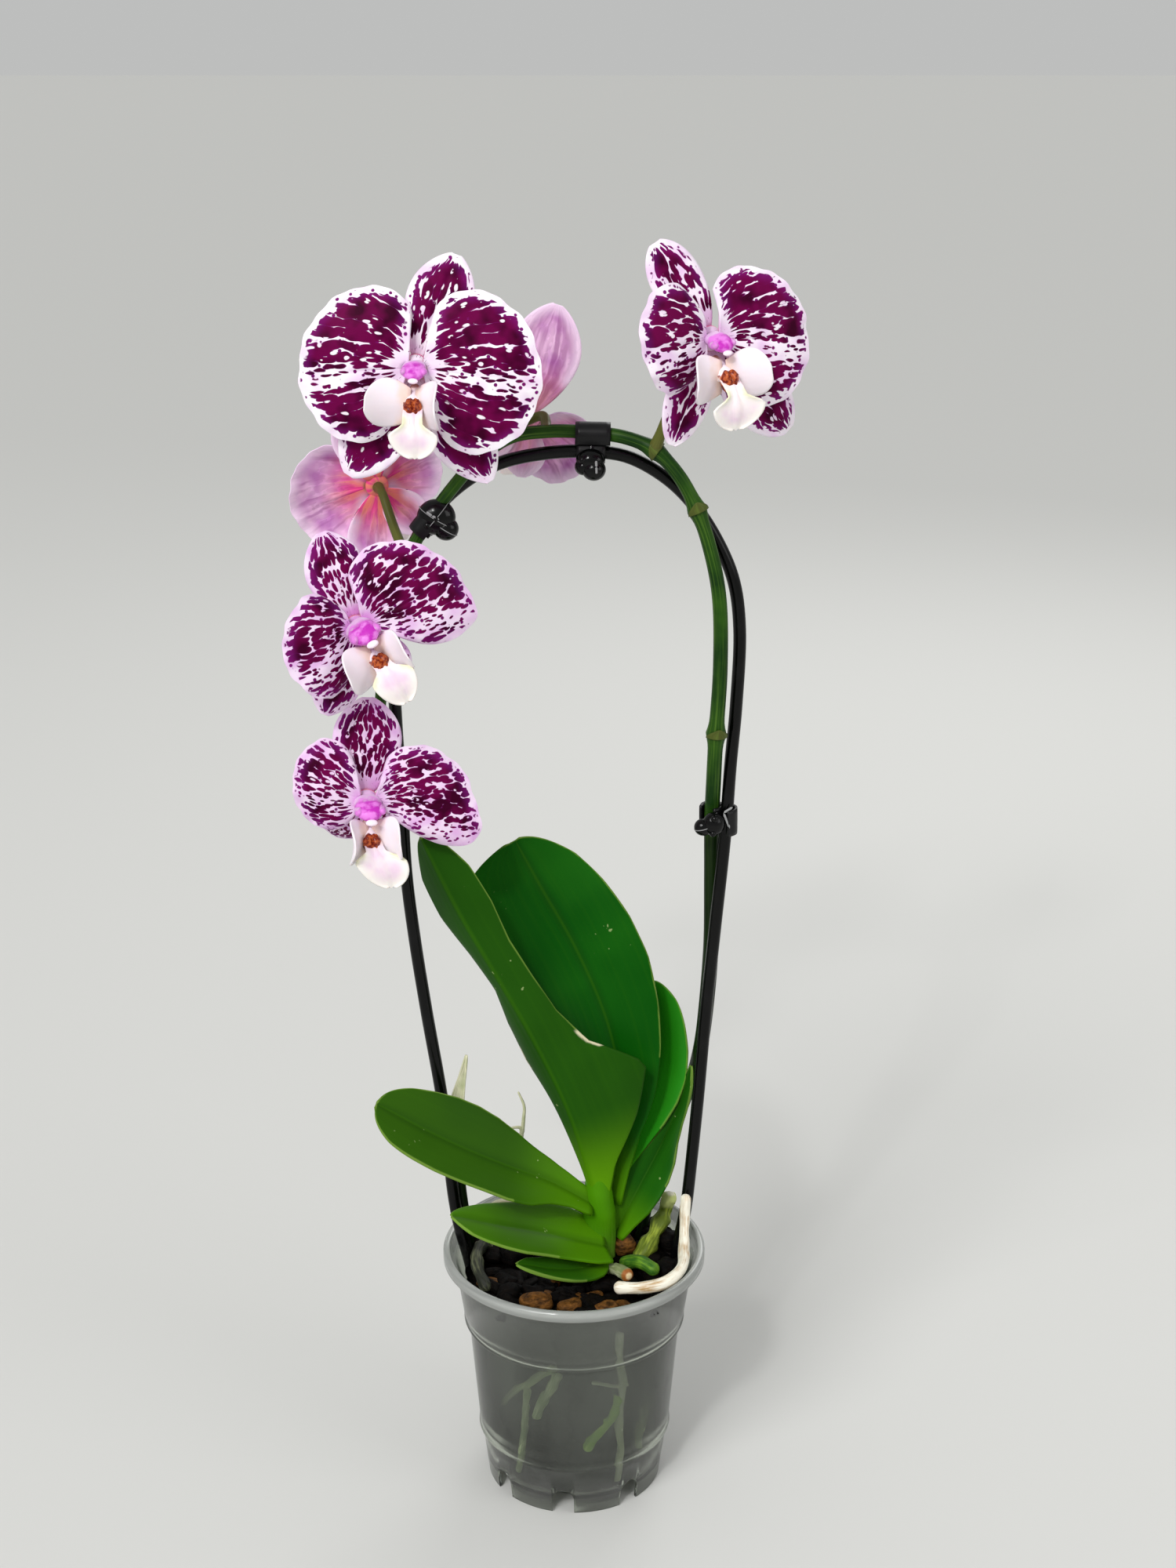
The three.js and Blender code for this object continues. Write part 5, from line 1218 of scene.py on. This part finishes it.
def potProfile():
    p = potShape
    inner = lambda z: (potOuterAt(z) - p["wall"], z)
    bulge = lambda z, radius: [(potOuterAt(z - 1.4), z - 1.4), (radius - 0.35, z - 0.8), (radius, z - 0.1),
                               (radius - 0.3, z + 0.6), (potOuterAt(z + 1.2), z + 1.2)]
    return [(0.01, 0), (p["disc"] - 0.6, 0), (p["disc"], 0.5), (p["disc"] + 1.6, p["floorUnder"] - 0.5),
            (p["disc"] + 2.2, p["floorUnder"]), (potOuterAt(p["floorUnder"]) - 1.2, p["floorUnder"]),
            (p["foot"] - 1.2, 0.3), (p["foot"] - 0.9, 0), (p["foot"] - 0.3, 0), (p["foot"], 0.3),
            *bulge(p["lowerRingZ"], p["lowerRing"]), *bulge(p["upperRingZ"], p["upperRing"]),
            (p["shoulder"], p["rimBottom"] - 0.4), (p["shoulder"] + 0.5, p["rimBottom"]),
            (p["rimRadius"] - 0.5, p["rimBottom"]), (p["rimRadius"], p["rimBottom"] + 0.5),
            (p["rimRadius"], p["rimTop"] - 0.9), (p["rimRadius"] - 0.3, p["rimTop"] - 0.3),
            (p["rimRadius"] - 1.0, p["rimTop"]), (p["rimInner"] + 0.6, p["rimTop"] - 0.05),
            (p["rimInner"] + 0.1, p["rimTop"] - 0.5), (p["rimInner"] - 0.1, p["rimTop"] - 1.2),
            (p["rimInner"] - 0.4, p["rimBottom"] + 1.1), (p["shoulder"] - p["wall"], p["rimBottom"] - 0.4),
            inner(p["upperRingZ"] + 1.2), inner(p["upperRingZ"] - 1.4), inner(p["lowerRingZ"]),
            inner(p["floorTop"] + 0.6), (potOuterAt(p["floorTop"]) - p["wall"] - 0.6, p["floorTop"]),
            (p["disc"] + 0.9, p["floorTop"]), (p["disc"] + 0.3, p["floorTop"] - 0.5),
            (p["disc"] - 0.9, 2.0), (p["disc"] - 1.5, 1.5), (0.01, 1.5)]


def notchTool(turn):
    half, top = potShape["notchWidth"] / 2, potShape["notchHeight"]
    arch = [(-half, -1.0), (half, -1.0)]
    arch += [(half * math.cos(t), top - half + half * math.sin(t)) for t in np.linspace(0, math.pi, 17)]
    spin = rotation(turn, "Z")
    points = [tuple((spin @ Vector((x, y, z))) * mm) for x in potShape["notchReach"] for y, z in arch]
    count = len(arch)
    faces = [list(range(count))[::-1], list(range(count, 2 * count))]
    faces += [[i, (i + 1) % count, (i + 1) % count + count, i + count] for i in range(count)]
    mesh = bpy.data.meshes.new("notch")
    mesh.from_pydata(points, [], faces)
    return addObject("notch", mesh)


def makePot():
    radii, heights = np.array(potProfile()).T
    turn = np.linspace(0, 2 * math.pi, potShape["sides"], endpoint=False)
    points = np.stack([np.outer(radii, np.cos(turn)), np.outer(radii, np.sin(turn)),
                       np.repeat(heights[:, None], len(turn), 1)], -1).reshape(-1, 3)
    wall = (points, ringFaces(len(radii), len(turn)), np.zeros_like(points), np.ones(len(points)), 0)
    piece = makePiece("clearPot", [wall], [milkyPot()], "clear_wall", "pot")
    first, count = potShape["firstNotch"], potShape["notches"]
    tools = [notchTool(first + 360 * i / count) for i in range(count)]
    for tool in tools:
        cut = piece.modifiers.new("notch", "BOOLEAN")
        cut.operation, cut.solver, cut.object = "DIFFERENCE", "EXACT", tool
    ready = piece.evaluated_get(bpy.context.evaluated_depsgraph_get())
    mesh = bpy.data.meshes.new_from_object(ready)
    piece.modifiers.clear()
    piece.data = mesh
    mesh.shade_smooth()
    mesh.set_sharp_from_angle(angle=math.radians(50))
    for tool in tools:
        bpy.data.objects.remove(tool)


makePot()
print("pot made")

# potting mix
mixShape = {
    "top": 77.0, "clear": 1.3, "rootClear": 0.35, "chunk": 8.5, "crevice": 1.5, "pit": 2.0, "swell": 1.2,
    "sectors": 200, "rows": 64, "chips": 210, "chipReach": 36.5, "chipSize": (2.4, 5.0), "redShare": 0.08,
}


# wet pine bark: dark, and painted nearly black so that it also stands in for the shade in the gaps between
# chips; cracked and fibrous, with a damp gleam on the edges
def barkLook(name, dark, light, roughness):
    material, add, place = newMaterial(name)
    grain = add("Mapping", {"Vector": place, "Scale": (1.0, 1.0, 3.0)})
    grain = add("TexNoise", {"Vector": grain, "Scale": 1000 / 3.2, "Detail": 5.0, "Roughness": 0.65})
    colour = add("MixRGB", [add("MapRange", [grain, 0.38, 0.66]), dark, light])
    return closed(material, add, colour, roughness, 1.45, 0.08, (grain, 0.8, 0.0008))


def mixParts():
    inside = lambda z: potOuterAt(z) - potShape["wall"] - mixShape["clear"]
    floor = potShape["floorTop"] + 0.4
    heights = np.concatenate([[floor], np.linspace(floor + 1, mixShape["top"], mixShape["rows"])])
    profile = [(0.01, 1.9), (potShape["disc"] - 2, 1.9), (potShape["disc"] - 0.2, floor)]
    profile += [(inside(z), z) for z in heights]
    profile += [(r, mixShape["top"] + 0.4) for r in np.linspace(inside(mixShape["top"]) - 1, 0.01, 26)]
    turn = np.linspace(0, 2 * math.pi, mixShape["sectors"], endpoint=False)
    rings = []
    for radius, z in profile:
        for angle in turn:
            place = Vector((radius * math.cos(angle), radius * math.sin(angle), z))
            distances = noise.voronoi(place / mixShape["chunk"])[0]
            gap = math.exp(-(distances[1] - distances[0]) * 9)
            if z > mixShape["top"] + 0.2:
                place.z -= mixShape["pit"] * gap - mixShape["swell"] * noise.noise(place * 0.2)
            elif radius > potShape["disc"] + 3:
                shrink = 1 - mixShape["crevice"] * gap / radius
                place.x, place.y = place.x * shrink, place.y * shrink
            rings.append(tuple(place))
    points = np.array(rings)
    return [(points, ringFaces(len(profile), len(turn)), np.zeros_like(points), np.ones(len(points)), 0)]


# the chips that show as single pieces: place, size, turn, look (1 is the red bark)
shownChips = [
    ((-12.2, -27.3, 81.4), (5.6, 3.4, 2.8), 8, 1), ((-1.2, -29.6, 80.8), (4.4, 3, 2.6), 35, 1),
    ((11.3, -29.2, 79.6), (4.8, 3, 2.4), -14, 1), ((17.4, 8.4, 82.4), (3.6, 3.4, 3.6), 20, 1),
    ((31.5, -4.6, 80.8), (4.4, 3.6, 3), 60, 0), ((-22, -20, 80), (4.4, 3.4, 2.6), 25, 0),
    ((34, 10, 83), (4.4, 3, 3.6), 50, 0), ((-33, 10, 82), (3, 4.4, 3.2), 20, 0),
    ((-20, 4, 80.6), (4.6, 3.8, 3), 35, 0),
]


def chipParts():
    parts = []
    for i, (at, size, turn, look) in enumerate(shownChips):
        parts.append(lumpPart(at, size, rotation(turn, "Z"), boxy=0.75, rough=0.28, grain=0.22, rings=18,
                              sides=26, seed=i, look=look))
    for i in range(mixShape["chips"]):
        radius = mixShape["chipReach"] * math.sqrt(random.random())
        angle = random.uniform(0, 2 * math.pi)
        long = random.uniform(*mixShape["chipSize"])
        spin = Matrix.Rotation(random.uniform(0, 6.3), 3, "Z")
        spin = spin @ Matrix.Rotation(random.uniform(-0.7, 0.7), 3, "X")
        # the mix is heaped towards the back and the sides
        heap = max(radius - 20, 0) * 0.3 * max(math.sin(angle) + 0.25, 0)
        at = (radius * math.cos(angle), radius * math.sin(angle), random.uniform(76.4, 79.0) + heap)
        size = (long, long * random.uniform(0.55, 0.9), long * random.uniform(0.35, 0.6))
        look = 1 if random.random() < mixShape["redShare"] else 0
        parts.append(lumpPart(at, size, spin, boxy=0.65, rough=0.4, grain=0.3, rings=9, sides=14, seed=20 + i,
                              look=look))
    return parts


# roots pressed against the wall: degrees round from +X, height, radius
wallRoots = [
    ([(-100, 60), (-108, 56), (-117, 51), (-127, 46), (-138, 38)], 1.3, 2),
    ([(-98, 58), (-104, 50), (-110, 43), (-114, 37)], 2.0, 2),
    ([(-118, 50), (-120, 40), (-122, 31), (-125, 22), (-130, 12)], 1.4, 2),
    ([(-61, 46), (-64, 42), (-67, 37), (-74, 33), (-79, 29), (-82, 25)], 2.2, 3),
    ([(-66, 74), (-63, 60), (-60, 51), (-61, 40), (-61, 30), (-59, 23), (-60, 10)], 1.5, 4),
    ([(-29, 49), (-34, 41), (-40, 34), (-44, 27), (-45, 20)], 1.4, 2),
    ([(-80, 54.2), (-73, 52.8), (-66, 51), (-57, 50)], 0.5, 4),
    ([(20, 60), (28, 48), (24, 34), (36, 22)], 1.6, 2),
    ([(70, 66), (78, 52), (70, 38), (82, 24), (78, 12)], 1.6, 4),
    ([(110, 58), (122, 50), (131, 38), (124, 26)], 1.8, 3),
    ([(160, 64), (171, 50), (166, 36), (178, 20)], 1.6, 2),
]


def wallRootParts():
    parts = []
    for path, radius, look in wallRoots:
        places = []
        for degrees, z in path:
            out = potOuterAt(z) - potShape["wall"] - mixShape["rootClear"] - radius
            turn = math.radians(degrees)
            places.append((out * math.cos(turn), out * math.sin(turn), z))
        parts.append(rootPart({"path": places, "radii": (radius, radius * 0.85), "rough": 0.2}, 60, 14, look))
    return parts


# the looks in the order that chips and wall roots count them
mixLooks = [
    # painted shade: the wet bark is painted nearly black, which also carries the shade between the chips
    barkLook("wet_pine_bark_gap_shade", "#020202", "#0f0906", 0.6),
    barkLook("red_pine_bark", "#33200c", "#7d5226", 0.4),
    rootSkin("skin_wall_root", ("#a9b88a", "#dde6c0")),
    rootSkin("skin_wall_root_green", ("#98c43a", "#c6e86a")),
    rootSkin("skin_wall_root_pale", ("#d6dcc0", "#f6f7e8")),
]
makePiece("barkMix", mixParts() + chipParts() + wallRootParts(), mixLooks, "bark", "bark_mix")
print("mix made")


# floor, light and camera
stageSetup = {"floor": "#cfcfcc", "fibre": "#c9c9c5", "world": "#f2f3f2", "worldPower": 0.575,
              "floorHalf": 30.0, "lightsLookAt": (0, 0, 0.22)}


# matt pale studio paper
def studioPaper():
    material, add, place = newMaterial("studio_paper")
    fibre = add("TexNoise", {"Vector": place, "Scale": 400.0, "Detail": 2.0})
    share = add("MapRange", [fibre, 0, 1, 0, 0.08])
    colour = add("MixRGB", [share, stageSetup["floor"], stageSetup["fibre"]])
    return closed(material, add, colour, 0.9, 1.5, 0.5)


half = stageSetup["floorHalf"]
floorMesh = bpy.data.meshes.new("floor")
corners = [(-half, -half, 0), (half, -half, 0), (half, half, 0), (-half, half, 0)]
floorMesh.from_pydata(corners, [], [[0, 1, 2, 3]])
floorMesh.materials.append(studioPaper())
addObject("floor", floorMesh)

world = bpy.data.worlds.new("studio")
world.use_nodes = True
background = world.node_tree.nodes["Background"]
background.inputs["Color"].default_value = linearColour(stageSetup["world"])
background.inputs["Strength"].default_value = stageSetup["worldPower"]
bpy.context.scene.world = world

lights = {
    "sun": {"kind": "SUN", "at": (-0.55, -0.85, 1.0), "size": math.radians(28), "power": 1.7},
    "key": {"kind": "AREA", "at": (-0.35, -1.0, 1.1), "size": 0.1, "power": 4.0},
    "fill": {"kind": "AREA", "at": (1.0, -0.6, 0.7), "size": 0.6, "power": 2.5},
    "back": {"kind": "AREA", "at": (0.4, 1.1, 1.0), "size": 0.7, "power": 4},
}
for lightName, light in lights.items():
    lamp = bpy.data.lights.new(lightName, light["kind"])
    lamp.energy = light["power"]
    setattr(lamp, "angle" if light["kind"] == "SUN" else "size", light["size"])
    holder = addObject(lightName, lamp)
    holder.location = light["at"]
    aim = Vector(stageSetup["lightsLookAt"]) - holder.location
    holder.rotation_euler = aim.to_track_quat("-Z", "Y").to_euler()

cameraSetup = {"lens": 51.3, "at": (0.0048, -0.680, 0.482), "pitch": 18.5}
camera = bpy.data.cameras.new("camera")
camera.lens = cameraSetup["lens"]
cameraObject = addObject("camera", camera)
cameraObject.location = cameraSetup["at"]
cameraObject.rotation_euler = (math.radians(90 - cameraSetup["pitch"]), 0, 0)
bpy.context.scene.camera = cameraObject
bpy.context.scene.view_settings.view_transform = "Standard"

print("scene ready")
